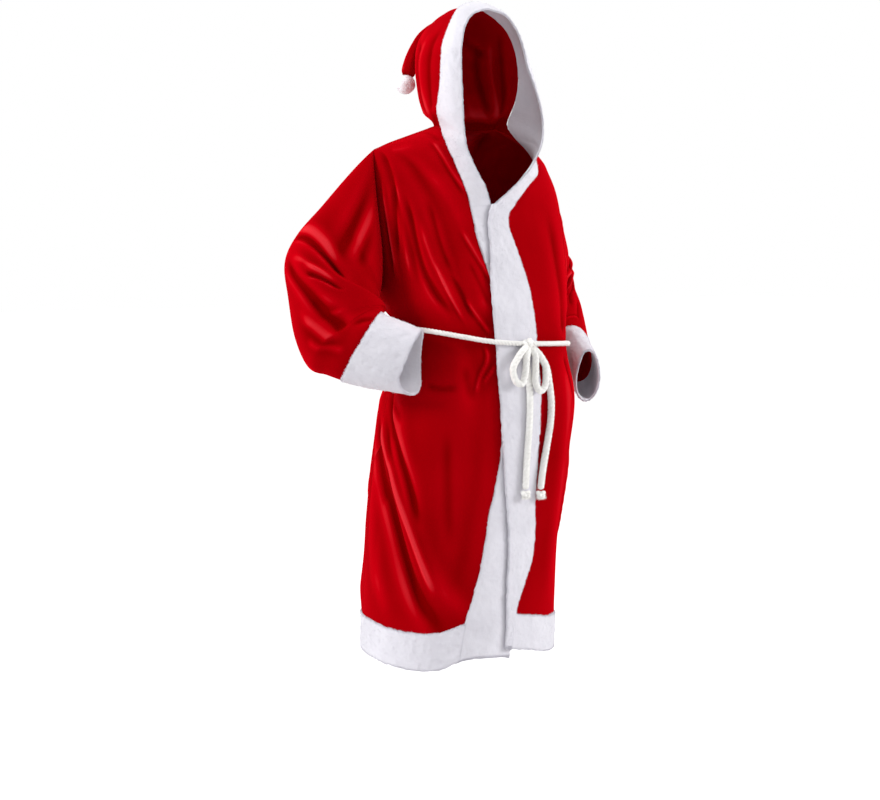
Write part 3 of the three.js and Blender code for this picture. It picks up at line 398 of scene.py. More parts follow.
def body_point(angle, down, lift=0.0, creased=True):
    """Point of the body surface. A section is a superellipse about its middle, rising towards the
    neck; folds, creases and lift move a point away from the middle, and the skirt's lower part is
    drawn up unevenly. Angle 0 is the front middle, positive to the wearer's left, and down is the
    way down from the shoulder line."""
    angle, down = np.broadcast_arrays(np.asarray(angle, float), np.asarray(down, float))
    get = lambda name: column(BODY_FORM, down, name)
    s, c = np.sin(np.radians(angle)), np.cos(np.radians(angle))
    side = signed_power(s, 2 / ROUNDNESS)
    left = np.maximum(side, 0)
    x = get("mid_x") + get("half") * side - get("narrow") * left**2
    depth = np.where(c >= 0, -get("front"), get("back"))
    neck = np.clip(1 - (x / NECK_HALF) ** 2, 0, 1) * (1 - fade(down, 0, 110)) * (c < 0)
    y = get("mid_y") + depth * np.abs(c) ** (2 / ROUNDNESS) + NECK_BACK * np.sqrt(neck)
    z = get("z") + get("rise") * (1 - np.abs(side)) - NECK_DIP * neck - get("drop") * left**2
    z = z - SHOULDER_DROP * fade(np.abs(side), 0.78, 1) * (1 - fade(down, 0, 160))
    out_x, out_y = x - get("mid_x"), y - get("mid_y")
    radius = np.maximum(np.hypot(out_x, out_y), 1)
    height = fold_height(BODY_FOLDS, angle, down, radius)
    if creased:
        height = height + crease_height(BODY_CREASES, angle, down, radius)
        height = height + rippled(angle, down) * fade(down, 20, 120)
    move = (height + lift) / radius
    drawn = column(HEM_RAISE, (angle + 180) % 360 - 180, "raise") + WRAP_RAISE * lift / WRAP_LIFT
    z = z + drawn * fade(down, 820, 1255)
    return np.stack([x + out_x * move, y + out_y * move, z], -1)


def wrap_lift(angle, down):
    """How far the left front stands off, because it lies over the right one near the middle."""
    return WRAP_LIFT * (1 - fade(np.abs(angle), 30, 75)) * fade(down, 50, 170)


def no_lift(angle, down):
    """The right front and the back lie on the body surface itself."""
    return 0.0 * angle * down


def front_lift(side):
    """The lift of a front."""
    return no_lift if side < 0 else wrap_lift


def stand_off(point, down, off):
    """The same point moved away from the middle of its section, level, by a distance."""
    middle = np.stack([column(BODY_FORM, down, "mid_x"), column(BODY_FORM, down, "mid_y")], -1)
    point[..., :2] += unit(point[..., :2] - middle) * off[..., None]
    return point


def angle_of_x(x, down):
    """Angle of the body point in front that has that x."""
    share = (x - column(BODY_FORM, down, "mid_x")) / column(BODY_FORM, down, "half")
    return np.degrees(np.arcsin(signed_power(np.clip(share, -1, 1), ROUNDNESS / 2)))


def seam_angle(down, name):
    """Angle of a front edge, from the table of edges."""
    return angle_of_x(column(EDGE, down, name), down)


def arm_angle(down, name):
    """Angle of the armhole's edge, or of the side seam below it."""
    return np.where(down < ARMHOLE_DOWN, column(ARMHOLE, down, name), SIDE_SEAM)


print("waist half width", column(BODY_FORM, 520, "half"), "mm")

# %% [markdown]
# ## Cloth as a thin closed wall
#
# Cloth has two faces and a cut edge. A single sheet of faces looks the same from afar, but its
# edge has no thickness and its inside has the wrong shade. So each piece is a wall between two
# grids of points: an outer one and an inner one along the same normals, with a strip along each
# open edge. Where two pieces are sewn together the outer face dips, as cloth does at a seam.


# %% Grids, normals and walls
def grid_normals(points, around=False):
    """Unit normals of a grid: the cross product of its two directions, by central differences."""
    wide = np.concatenate([points[:, -2:], points, points[:, :2]], 1) if around else points
    across = np.gradient(wide, axis=1)
    if around:
        across = across[:, 2:-2]
    return unit(np.cross(across, np.gradient(points, axis=0)))


def edge_distances(points):
    """Distance along the cloth from each point to the four edges: left, right, top and bottom."""
    across = np.linalg.norm(np.diff(points, axis=1), axis=2)
    along = np.linalg.norm(np.diff(points, axis=0), axis=2)
    left = np.concatenate([np.zeros((points.shape[0], 1)), np.cumsum(across, 1)], 1)
    top = np.concatenate([np.zeros((1, points.shape[1])), np.cumsum(along, 0)], 0)
    return left, left[:, -1:] - left, top, top[-1:] - top


def patch(index, place):
    """Quads of a grid of vertex numbers, with the cloth places of their corners."""
    corners = lambda g: np.stack([g[:-1, :-1], g[1:, :-1], g[1:, 1:], g[:-1, 1:]], 2)
    return corners(index).reshape(-1, 4), corners(place).reshape(-1, 4, 2)


def wall(outer, inner, around=False):
    """Closed wall between two grids: both faces, and a strip along every open edge."""
    rows, cols = outer.shape[:2]
    index = np.arange(2 * rows * cols).reshape(2, rows, cols)
    left, _, top, _ = edge_distances(outer)
    place = np.stack([left, top], -1) * MM
    if around:
        index = np.concatenate([index, index[:, :, :1]], 2)
        last = np.linalg.norm(outer[:, 0] - outer[:, -1], axis=1) * MM
        end = place[:, -1:] + np.stack([last, 0 * last], -1)[:, None]
        place = np.concatenate([place, end], 1)
    o, i = index
    parts = [
        patch(o, place),
        patch(i[:, ::-1], place[:, ::-1]),
        patch(np.stack([i[0], o[0]]), place[:1].repeat(2, 0)),
        patch(np.stack([o[-1], i[-1]]), place[-1:].repeat(2, 0)),
    ]
    if not around:
        parts.append(patch(np.stack([i[:, 0], o[:, 0]], 1), place[:, :1].repeat(2, 1)))
        parts.append(patch(np.stack([o[:, -1], i[:, -1]], 1), place[:, -1:].repeat(2, 1)))
    points = np.concatenate([outer.reshape(-1, 3), inner.reshape(-1, 3)])
    quads = np.concatenate([part[0] for part in parts])
    places = np.concatenate([part[1] for part in parts])
    return points, quads, places


print("a wall has two faces and up to four edge strips")

# %% [markdown]
# ## From grids to objects
#
# A piece is one mesh made of closed bodies, whose faces are turned outwards before they are joined.
# Its cloth places become a UV map. The relief of a grid, how far each point stands above its
# surroundings, is kept as an attribute, and velvet's colour paints shade in a trough and light on a
# ridge from it.

# %% Relief and pieces
BLUR_PASSES = 20


def outward(points, faces, places):
    """The same faces turned to point outwards: the sum of their tetrahedra has to be positive."""
    a, b, c = points[faces[:, 0]], points[faces[:, 1]], points[faces[:, 2]]
    volume = np.einsum("ij,ij->", a, np.cross(b, c))
    if faces.shape[1] == 4:
        d = points[faces[:, 3]]
        volume += np.einsum("ij,ij->", a, np.cross(c, d))
    if volume < 0:
        return faces[:, ::-1], places[:, ::-1]
    return faces, places


def relief_of(points, normals, around=False):
    """How far each point of a grid stands above its surroundings: the point less a blurred copy of
    the grid, along the normal. A pass of the blur takes a quarter of each neighbour."""
    blurred = points
    for _ in range(BLUR_PASSES):
        edge = "wrap" if around else "edge"
        wide = np.pad(blurred, ((0, 0), (1, 1), (0, 0)), mode=edge)
        blurred = wide[:, :-2] / 4 + wide[:, 1:-1] / 2 + wide[:, 2:] / 4
        tall = np.pad(blurred, ((1, 1), (0, 0), (0, 0)), mode="edge")
        blurred = tall[:-2] / 4 + tall[1:-1] / 2 + tall[2:] / 4
    height = ((points - blurred) * normals).sum(-1)
    return height - np.median(height)


def make_piece(name, meshes, sharp=50, relief=None):
    """One object from closed bodies, each (points in millimetres, faces, cloth places of corners).
    The relief of a wall's grid becomes an attribute, the same on both faces."""
    points, faces, places, start = [], [], [], 0
    for body_points, body_faces, body_places in meshes:
        body_faces, body_places = outward(body_points, body_faces, body_places)
        points.append(body_points)
        faces.extend((body_faces + start).tolist())
        places.append(body_places.reshape(-1, 2))
        start += len(body_points)
    mesh = bpy.data.meshes.new(name)
    mesh.from_pydata(np.concatenate(points) * MM, [], faces)
    mesh.uv_layers.new(name="cloth").data.foreach_set("uv", np.concatenate(places).ravel())
    if relief is not None:
        values = np.tile(relief.ravel(), 2)
        mesh.attributes.new("relief", "FLOAT", "POINT").data.foreach_set("value", values)
    mesh.shade_smooth()
    mesh.set_sharp_from_angle(angle=math.radians(sharp))
    piece = bpy.data.objects.new(name, mesh)
    bpy.context.collection.objects.link(piece)
    return piece


def triangles_of(piece):
    """Triangles of a piece."""
    return sum(len(face.vertices) - 2 for face in piece.data.polygons)


# %% [markdown]
# ## Fine hairs
#
# Plush, rope and pompom need real hairs along their outline, where a bump can't show. A
# particle system would make millions. A hair here is a thin closed spike with four faces, and
# whole arrays of them are placed at once on random spots.


# %% Hairs as three-sided spikes
def hairs(roots, directions, lengths, widths, places, rng):
    """Closed spikes: a small root triangle and a tip, four faces each."""
    count = len(roots)
    side = unit(np.cross(directions, rng.normal(size=(count, 3))))
    other = np.cross(directions, side)
    turn = 2 * np.pi * np.arange(3) / 3
    ring = side[:, None] * np.cos(turn)[:, None] + other[:, None] * np.sin(turn)[:, None]
    low = roots[:, None] + ring * widths[:, None, None]
    tip = (roots + directions * lengths[:, None])[:, None]
    points = np.concatenate([low, tip], 1).reshape(-1, 3)
    one = np.array([[2, 1, 0], [0, 1, 3], [1, 2, 3], [2, 0, 3]])
    faces = (one[None] + 4 * np.arange(count)[:, None, None]).reshape(-1, 3)
    corners = np.repeat(places, 4, 0)[:, None].repeat(3, 1)
    return points, faces, corners


# %% [markdown]
# ## Free ends of the belt
#
# The belt is a white rope of three twisted strands. It is pulled tight round the waist, 12 mm
# thick, and softer and thicker where it hangs in its loops and free ends. The two ends have a
# real length and a route under their own weight, given by a table for each.

# %% Routes of ropes
ROPE, SOFT_ROPE = 12, 16.5
ROPE_STEP = 2.2


def column_names(names):
    """The columns of a rope's table: share of its way, x, height and distance off the body."""
    return table("s x z off", names)


END_RIGHT = column_names([
    [0, 20, -519.4, 18.9], [0.15, 22, -570, 19.4], [0.4, 19, -660, 19.4],
    [0.7, 14, -760, 19.4], [1, 11, -832, 20.5],
])
END_LEFT = column_names([
    [0, 34.5, -519, 20], [0.05, 46, -524, 20], [0.14, 68, -542, 20], [0.3, 78, -604, 19.4],
    [0.5, 78, -668, 19.4], [0.7, 68, -738, 19.4], [0.85, 59, -792, 19.4], [1, 53, -836, 20.5],
])
SHOULDER_TO_LINE = 20


def front_point(x, z, off):
    """Point in front of the body by x and height, standing off it by a distance."""
    down = SHOULDER_TO_LINE - z
    angle = angle_of_x(x, down)
    return stand_off(body_point(angle, down, creased=False), down, off)


def way_along(path):
    """Length of the path from its start to each of its points."""
    return np.concatenate([[0], np.cumsum(np.linalg.norm(np.diff(path, axis=0), axis=1))])


def even_path(points, step):
    """The same path with points a step apart: each coordinate read off at even lengths."""
    lengths = way_along(points)
    count = max(int(round(lengths[-1] / step)), 4)
    at = np.linspace(0, lengths[-1], count + 1)
    return np.stack([np.interp(at, lengths, points[:, i]) for i in range(3)], -1)


def rope_path(tab, count=400):
    """Route of a rope in front of the body, from its table."""
    s = steps(count)
    points = front_point(column(tab, s, "x"), column(tab, s, "z"), column(tab, s, "off"))
    return even_path(points, ROPE_STEP)


print("routes: both ends hang about", round(-END_LEFT["rows"][-1, 2]), "mm below the shoulders")

# %% [markdown]
# ## Rope as a twisted section carried along a path
#
# A rope could be three helices, but one tube whose section has three rounded lobes, turned as
# it travels, shows the same strands with a third of the faces. The section must not spin by
# itself, so each direction across the path is the one before it, made square to the path.

# %% Rope, its strands and its fuzz
ROPE_PITCH = 26
ROPE_AROUND = 24
SOFT_PITCH, SOFT_ROUND = 30, 0.55
STRAND_AT, STRAND_SIZE = 0.45, 0.55
FUZZ_ROOT = 0.86


def path_frames(path):
    """Two directions square to a path, carried along it without turning about it."""
    before, after = np.roll(path, 1, 0), np.roll(path, -1, 0)
    before[0], after[-1] = path[0], path[-1]
    travel = unit(after - before)
    across = np.zeros_like(path)
    start = np.cross([0.0, 1.0, 0.0], travel[0])
    if np.linalg.norm(start) < 0.1:
        start = np.cross([1.0, 0.0, 0.0], travel[0])
    across[0] = unit(start)
    for i in range(1, len(path)):
        moved = across[i - 1] - travel[i] * np.dot(across[i - 1], travel[i])
        across[i] = moved / np.linalg.norm(moved)
    return across, np.cross(travel, across)


def strand_radius(turn):
    """Outline of three touching strands: the far side of the nearest strand's circle."""
    off = (turn + np.pi / 3) % (2 * np.pi / 3) - np.pi / 3
    return STRAND_AT * np.cos(off) + np.sqrt(STRAND_SIZE**2 - (STRAND_AT * np.sin(off)) ** 2)


def tube(rings, lengths):
    """Closed tube through rings of points, with a middle point closing each end."""
    rows, cols = rings.shape[:2]
    index = np.arange(rows * cols).reshape(rows, cols)
    ends = np.array([[rows * cols] * cols, [rows * cols + 1] * cols])
    index = np.concatenate([ends[:1], index, ends[1:]])
    index = np.concatenate([index, index[:, :1]], 1)
    along = np.concatenate([lengths[:1], lengths, lengths[-1:]]) * MM
    place = np.stack(np.broadcast_arrays(steps(cols)[None], along[:, None]), -1)
    quads, places = patch(index, place)
    points = np.concatenate([rings.reshape(-1, 3), rings[:1].mean(1), rings[-1:].mean(1)])
    return points, quads, places


def split_quads(points, quads, places):
    """The same faces as triangles, without those that have no area at a pole."""
    faces = np.concatenate([quads[:, [0, 1, 2]], quads[:, [0, 2, 3]]])
    corners = np.concatenate([places[:, [0, 1, 2]], places[:, [0, 2, 3]]])
    a, b, c = faces.T
    real = (a != b) & (b != c) & (a != c)
    return points, faces[real], corners[real]


def fuzz(path, radius, count, seed):
    """Cotton hairs that stand out from a rope: at random places on its skin, slanting on."""
    rng = np.random.default_rng(seed)
    across, other = path_frames(path)
    at = rng.integers(1, len(path) - 1, count)
    turn = rng.uniform(0, 2 * np.pi, count)[:, None]
    away = across[at] * np.cos(turn) + other[at] * np.sin(turn)
    lean = unit(path[at + 1] - path[at]) * rng.uniform(-0.5, 1.1, (count, 1))
    direction = unit(away + lean + 0.3 * rng.normal(size=(count, 3)))
    return hairs(
        path[at] + away * radius * FUZZ_ROOT, direction, rng.uniform(1.4, 3.0, count),
        rng.uniform(0.3, 0.6, count), np.zeros((count, 2)), rng,
    )


def rope(path, radius=ROPE / 2, pitch=ROPE_PITCH, around=ROPE_AROUND, round_share=0.0):
    """Twisted rope: the section of three strands turns once in a pitch along the path, and the
    first and last few steps close in a round end. The round share evens out the strands."""
    across, other = path_frames(path)
    lengths = way_along(path)
    turn = 2 * np.pi * steps(around)[:-1]
    strands = strand_radius(turn[None] - 2 * np.pi * lengths[:, None] / pitch)
    size = radius * mix(strands, 0.95, round_share)
    near = np.minimum(lengths, lengths[-1] - lengths)
    size = size * np.sqrt(np.clip(1 - (1 - np.clip(near / radius, 0, 1)) ** 2, 0.04, 1))[:, None]
    rings = (
        path[:, None]
        + across[:, None] * (size * np.cos(turn))[..., None]
        + other[:, None] * (size * np.sin(turn))[..., None]
    )
    return split_quads(*tube(rings, lengths))


def soft_rope(path):
    """The same rope where it hangs slack: thicker, with flatter strands."""
    return rope(path, SOFT_ROPE / 2, SOFT_PITCH, round_share=SOFT_ROUND)


print("strands lie", STRAND_AT * ROPE / 2, "mm from the middle of the rope")

# %% [markdown]
# ## Finishes
#
# Four finishes cover the robe: smooth velvet, short white plush, soft cotton rope and the wool
# of the pompom. Each is made of a pile, so they share two node groups: one for the fine pile
# that catches light, and one for the slow unevenness where cloth was stroked one way or the
# other. An image could do this too, but worked-out patterns have no edge and keep their scale.


# %% Node groups for pile and stroke
def new_group(name, inputs, outputs):
    """A shader node group with named number inputs and outputs."""
    group = bpy.data.node_groups.new(name, "ShaderNodeTree")
    for label, value in inputs:
        socket = group.interface.new_socket(label, in_out="INPUT", socket_type="NodeSocketFloat")
        socket.default_value = value
    for label in outputs:
        group.interface.new_socket(label, in_out="OUTPUT", socket_type="NodeSocketFloat")
    return group, group.nodes.new("NodeGroupInput"), group.nodes.new("NodeGroupOutput")


def connect(tree, *pairs):
    """Links made two by two."""
    for source, target in pairs:
        tree.links.new(source, target)


def math_node(tree, operation, a=None, b=None):
    """A math node; each value is a number or a socket."""
    node = tree.nodes.new("ShaderNodeMath")
    node.operation = operation
    for socket, value in zip(node.inputs, (a, b)):
        if isinstance(value, bpy.types.NodeSocket):
            tree.links.new(value, socket)
        elif value is not None:
            socket.default_value = value
    return node.outputs[0]


def pile_group():
    """Fine pile: two scales of noise added together, as a height from 0 to 1."""
    group, given, result = new_group("pile", [("Scale", 600), ("Clumps", 0.5)], ["Height"])
    place = group.nodes.new("ShaderNodeTexCoord")
    fine, coarse = (group.nodes.new("ShaderNodeTexNoise") for _ in range(2))
    fine.inputs["Detail"].default_value = 3
    coarse.inputs["Detail"].default_value = 2
    quarter = math_node(group, "MULTIPLY", given.outputs["Scale"], 0.22)
    connect(
        group,
        (place.outputs["Object"], fine.inputs["Vector"]),
        (place.outputs["Object"], coarse.inputs["Vector"]),
        (given.outputs["Scale"], fine.inputs["Scale"]),
        (quarter, coarse.inputs["Scale"]),
    )
    clumps = math_node(group, "MULTIPLY", coarse.outputs[0], given.outputs["Clumps"])
    rest = math_node(group, "SUBTRACT", 1.0, given.outputs["Clumps"])
    hairs = math_node(group, "MULTIPLY", fine.outputs[0], rest)
    connect(group, (math_node(group, "ADD", clumps, hairs), result.inputs["Height"]))
    return group


def stroke_group():
    """Where the pile was stroked: slow noise, drawn out down the cloth, as a mask from 0 to 1."""
    group, given, result = new_group("stroke", [("Scale", 9), ("Stretch", 0.45)], ["Mask"])
    place = group.nodes.new("ShaderNodeTexCoord")
    size = group.nodes.new("ShaderNodeCombineXYZ")
    size.inputs["X"].default_value = 1
    size.inputs["Y"].default_value = 1
    mapping = group.nodes.new("ShaderNodeMapping")
    noise = group.nodes.new("ShaderNodeTexNoise")
    noise.inputs["Detail"].default_value = 4
    noise.inputs["Distortion"].default_value = 0.6
    spread = group.nodes.new("ShaderNodeMapRange")
    spread.inputs["From Min"].default_value = 0.3
    spread.inputs["From Max"].default_value = 0.7
    connect(
        group,
        (given.outputs["Stretch"], size.inputs["Z"]),
        (place.outputs["Object"], mapping.inputs["Vector"]),
        (size.outputs[0], mapping.inputs["Scale"]),
        (mapping.outputs[0], noise.inputs["Vector"]),
        (given.outputs["Scale"], noise.inputs["Scale"]),
        (noise.outputs[0], spread.inputs["Value"]),
        (spread.outputs[0], result.inputs["Mask"]),
    )
    return group


PILE = pile_group()
STROKE = stroke_group()
print("groups:", PILE.name, STROKE.name)

# %% [markdown]
# ## Parts of a material
#
# Each function adds one small step to a material and returns its output. The relief attribute
# decides most of velvet's colour, as painted shade and light: darker in a trough, brighter on a
# ridge, with a narrow pale pink painted highlight where a fold stands up most.


# %% Steps of a material
def group_node(tree, group, **values):
    """A node group placed in a material with its own values."""
    node = tree.nodes.new("ShaderNodeGroup")
    node.node_tree = group
    for name, value in values.items():
        node.inputs[name].default_value = value
    return node.outputs[0]


def colour_between(tree, mask, dark, light):
    """A colour between two, by a mask."""
    node = tree.nodes.new("ShaderNodeMix")
    node.data_type = "RGBA"
    node.inputs["A"].default_value = (*dark, 1)
    node.inputs["B"].default_value = (*light, 1)
    tree.links.new(mask, node.inputs["Factor"])
    return node.outputs["Result"]


def value_between(tree, mask, low, high):
    """A number between two, by a mask."""
    node = tree.nodes.new("ShaderNodeMapRange")
    node.inputs["To Min"].default_value = low
    node.inputs["To Max"].default_value = high
    tree.links.new(mask, node.inputs["Value"])
    return node.outputs[0]


def bump(tree, height, strength, distance):
    """A bump from a height."""
    node = tree.nodes.new("ShaderNodeBump")
    node.inputs["Strength"].default_value = strength
    node.inputs["Distance"].default_value = distance
    tree.links.new(height, node.inputs["Height"])
    return node.outputs[0]


def relief_between(tree, low, high):
    """A mask that goes from 0 to 1 as the relief goes from low to high millimetres."""
    node = tree.nodes.new("ShaderNodeAttribute")
    node.attribute_name = "relief"
    spread = tree.nodes.new("ShaderNodeMapRange")
    spread.inputs["From Min"].default_value = low
    spread.inputs["From Max"].default_value = high
    tree.links.new(node.outputs["Fac"], spread.inputs["Value"])
    return spread.outputs[0]


def painted_relief_shade(tree, mask, share, height):
    """Painted shade and light on velvet: a mask from the relief in millimetres, low in a trough and
    high on a ridge, mixed with the strokes."""
    strokes = math_node(tree, "MULTIPLY", mask, 1 - share)
    raised = math_node(tree, "MULTIPLY", relief_between(tree, -height, height), share)
    return math_node(tree, "ADD", strokes, raised)


def with_painted_crest_highlight(tree, colour, painted_highlight_colour, share, low, high):
    """The colour with a pale pink painted highlight mixed in where the cloth stands up most."""
    amount = math_node(tree, "MULTIPLY", relief_between(tree, low, high), share)
    node = tree.nodes.new("ShaderNodeMix")
    node.data_type = "RGBA"
    node.inputs["B"].default_value = (*painted_highlight_colour, 1)
    connect(tree, (amount, node.inputs["Factor"]), (colour, node.inputs["A"]))
    return node.outputs["Result"]


print("steps of a material are ready")

# %% [markdown]
# ## The four cloths
#
# Velvet hardly reflects at all, so its reflection is off and its sheen is strong and red. Plush and
# wool let a little light through. Two colours are given for each cloth: the stroke mask mixes them,
# and it makes the rougher parts darker too. On velvet the relief sets most of that mask, so its
# dark colour is painted shade in the troughs and its light one painted light on the ridges, and a
# pale pink painted highlight lies on the tops of the folds.


# %% Cloth materials
def cloth_material(
    name, dark, light, rough, pile, stroke, sheen, bumped, extra=(), relief=None, painted_crest_highlight=None,
):
    """A cloth: colour and roughness by the strokes, a fine bump by the pile, and a sheen. Velvet
    also gets painted shade and light from its relief, and a painted highlight on the tops of its
    folds.
    """
    material = bpy.data.materials.new(name)
    material.use_nodes = True
    tree = material.node_tree
    shader = tree.nodes["Principled BSDF"]
    mask = group_node(tree, STROKE, **stroke)
    # On velvet the relief turns the mask into painted shade in troughs and painted light on ridges.
    if relief:
        mask = painted_relief_shade(tree, mask, *relief)
    height = group_node(tree, PILE, **pile)
    colour = colour_between(tree, mask, dark, light)
    # A painted highlight on the tops of the folds.
    if painted_crest_highlight:
        colour = with_painted_crest_highlight(tree, colour, *painted_crest_highlight)
    connect(
        tree,
        (colour, shader.inputs["Base Color"]),
        (value_between(tree, mask, *rough), shader.inputs["Roughness"]),
        (bump(tree, height, *bumped), shader.inputs["Normal"]),
    )
    weight, sheen_rough, tint = sheen
    shader.inputs["Sheen Weight"].default_value = weight
    shader.inputs["Sheen Roughness"].default_value = sheen_rough
    shader.inputs["Sheen Tint"].default_value = (*tint, 1)
    for socket, value in extra:
        shader.inputs[socket].default_value = value
    material.diffuse_color = (*light, 1)
    return material


# Velvet's dark and light colours are painted shade and light set by the relief, and its pale pink
# colour is a painted highlight on the tops of folds.
velvet = cloth_material(
    "velvet", (0.16, 0.0, 0.0), (0.52, 0.0, 0.005), (0.5, 0.4),
    {"Scale": 700, "Clumps": 0.4}, {"Scale": 7, "Stretch": 0.35},
    (1.0, 0.4, (1.0, 0.006, 0.016)), (0.3, 0.0012),
    [("Specular IOR Level", 0.0)], relief=(0.8, 2.2),
    painted_crest_highlight=((0.85, 0.05, 0.065), 0.45, 1.7, 4.2),
)
plush = cloth_material(
    "plush", (0.67, 0.655, 0.715), (0.74, 0.725, 0.785), (0.95, 0.85),
    {"Scale": 420, "Clumps": 0.6}, {"Scale": 16, "Stretch": 0.8},
    (0.3, 0.6, (1.0, 1.0, 1.0)), (0.5, 0.003),
    [("Subsurface Weight", 0.15), ("Subsurface Radius", (0.004, 0.004, 0.004))],
)
cotton = cloth_material(
    "cotton_rope", (0.84, 0.825, 0.8), (0.92, 0.91, 0.885), (0.9, 0.8),
    {"Scale": 900, "Clumps": 0.5}, {"Scale": 30, "Stretch": 1},
    (0.2, 0.6, (1.0, 1.0, 1.0)), (0.5, 0.0015),
)
pompom_wool = cloth_material(
    "pompom_wool", (0.86, 0.85, 0.89), (0.93, 0.92, 0.96), (0.95, 0.9),
    {"Scale": 420, "Clumps": 0.6}, {"Scale": 16, "Stretch": 0.8},
    (0.2, 0.6, (1.0, 1.0, 1.0)), (0.12, 0.001), [("Specular IOR Level", 0.0)],
)
print("materials:", velvet.name, plush.name, cotton.name, pompom_wool.name)

# %% [markdown]
# ## Dressing a piece
#
# Every finished piece gets the material of its slot, rides with the body of the frame, and hides
# the plain solids that it stands for. One function does all three, so that no piece misses one.

# %% Finish, slot, ride and what a piece replaces
SLOTS = {"velvet": velvet, "plush": plush, "rope": cotton, "pompom": pompom_wool}


def dress(piece, slot, *nodes, finish=None):
    """Gives a piece the material of its slot, lets it ride, and hides the solids it stands for."""
    piece.data.materials.append(SLOTS[finish or slot])
    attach(piece, BODY)
    if nodes:
        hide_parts(*nodes)
    print(f"{piece.name}: {triangles_of(piece)} triangles")
    return piece


print("slots:", ", ".join(SLOTS))

# %% [markdown]
# ## Noise without vertices one by one
#
# Lumps and tufts need smooth noise at a whole grid of points at once. The noise mixes random
# numbers at the corners of a lattice, and the numbers come from the corner's own place, so the
# same point always gets the same value.


# %% Places and noise on a grid
def on_grid(grid, row, col):
    """Values of a grid between its points: the mean of the four neighbours by their nearness."""
    r = np.clip(row.astype(int), 0, grid.shape[0] - 2)
    c = np.clip(col.astype(int), 0, grid.shape[1] - 2)
    u, v = (row - r)[:, None], (col - c)[:, None]
    top = grid[r, c] * (1 - v) + grid[r, c + 1] * v
    low = grid[r + 1, c] * (1 - v) + grid[r + 1, c + 1] * v
    return top * (1 - u) + low * u


def lattice_noise(points, size, seed):
    """Smooth noise from -1 to 1: a random number at each corner of a lattice of that size, and an
    S-curve between the corners."""
    at = points / size
    cell = np.floor(at).astype(np.int64)
    share = at - cell
    share = share * share * (3 - 2 * share)
    total = np.zeros(points.shape[:-1])
    for dx, dy, dz in np.ndindex(2, 2, 2):
        key = (cell[..., 0] + dx) * 73856093 ^ (cell[..., 1] + dy) * 19349663
        key = (key ^ (cell[..., 2] + dz) * 83492791 ^ seed * 2654435761) & 0x7FFFFFFF
        key = (key ^ (key >> 13)) * 1274126177 & 0x7FFFFFFF
        value = ((key ^ (key >> 16)) & 0xFFFF) / 32767.5 - 1
        weight = (
            np.where(dx, share[..., 0], 1 - share[..., 0])
            * np.where(dy, share[..., 1], 1 - share[..., 1])
            * np.where(dz, share[..., 2], 1 - share[..., 2])
        )
        total = total + value * weight
    return total


# %% [markdown]
# ## The hanging ends and their knots
#
# Each end leaves the knot, hangs down over the white band and stops in a small overhand knot with a
# frayed tip. The knot is the same rope carried along a trefoil, the simplest knotted line. The
# lengths are read off the route.

# %% Knots at the ends
KNOT_SEED = 7
END_FUZZ, KNOT_FRAY = 2600, 420
END_KNOT = {"wide": 12, "deep": 9, "tall": 12, "gap": 0.9, "forward": 1.5, "rows": 6}


def trefoil(middle, wide, deep, tall, count=90, turn=0.0):
    """A trefoil knot of given half sizes. Across it is sin t + 2 sin 2t, up it is
    cos t - 2 cos 2t, and sin 3t is its depth."""
    t = 2 * np.pi * np.arange(count) / count + turn
    line = np.stack([
        wide * (np.sin(t) + 2 * np.sin(2 * t)) / 3,
        deep * np.sin(3 * t),
        tall * (np.cos(t) - 2 * np.cos(2 * t)) / 3,
    ], -1)
    return middle + line


def end_knot_middle(tab):
    """Middle of an end's knot, just under the last point of the rope."""
    drop = END_KNOT["tall"] * math.cos(math.pi / END_KNOT["rows"]) + END_KNOT["gap"]
    s = np.array([1.0])
    return front_point(
        column(tab, s, "x"), column(tab, s, "z") - drop,
        column(tab, s, "off") + END_KNOT["forward"],
    )[0]


def end_knot(name, tab, rng):
    """Overhand knot at a rope's end, with a short frayed tip below it."""
    middle = end_knot_middle(tab)
    line = trefoil(middle, 9.5, 4.0, 6.5, turn=0.4)
    loop = np.concatenate([line, line[:3]])
    knot = rope(even_path(loop, 1.5), 4.9, 20, 14, 0.4)
    count = KNOT_FRAY
    spread = rng.normal(size=(count, 3)) * [0.7, 0.45, 0.2]
    direction = unit(np.array([0.3, -0.05, -0.8]) + spread)
    root = middle + [0, 0, -3.0] + rng.uniform(-1, 1, (count, 3)) * [9.0, 4.5, 3.0]
    fray = hairs(
        root, direction, rng.uniform(6.5, 10.5, count), rng.uniform(0.35, 0.7, count),
        np.zeros((count, 2)), rng,
    )
    return make_piece(name, [knot, fray])


print("hairs at a frayed tip:", KNOT_FRAY)

# %% [markdown]
# ## Rope and knot of a free end
#
# A free end is built from its route, with the knot at its far end.


# %% Free ends of the rope
def cord_end(side, tab):
    """One free end with its knot."""
    rng = np.random.default_rng(KNOT_SEED + len(side))
    path = rope_path(tab)
    body = [soft_rope(path), fuzz(path, SOFT_ROPE / 2, END_FUZZ, KNOT_SEED)]
    end = dress(make_piece(f"rope_end_{side}", body), "rope", f"belt_end_{side}")
    knot = dress(end_knot(f"rope_end_knot_{side}", tab, rng), "rope", f"end_knot_{side}")


cord_end("right", END_RIGHT)
cord_end("left", END_LEFT)

# %% [markdown]
# ## The belt: waist rope, knot and two bow loops
#
# The rope goes once round the waist, a little higher on the right where the cuff rests, and is
# tied in a bow a little left of the middle. The waist rope stands off the cloth by its own
# half thickness, so it presses lightly into the folds instead of cutting through them.

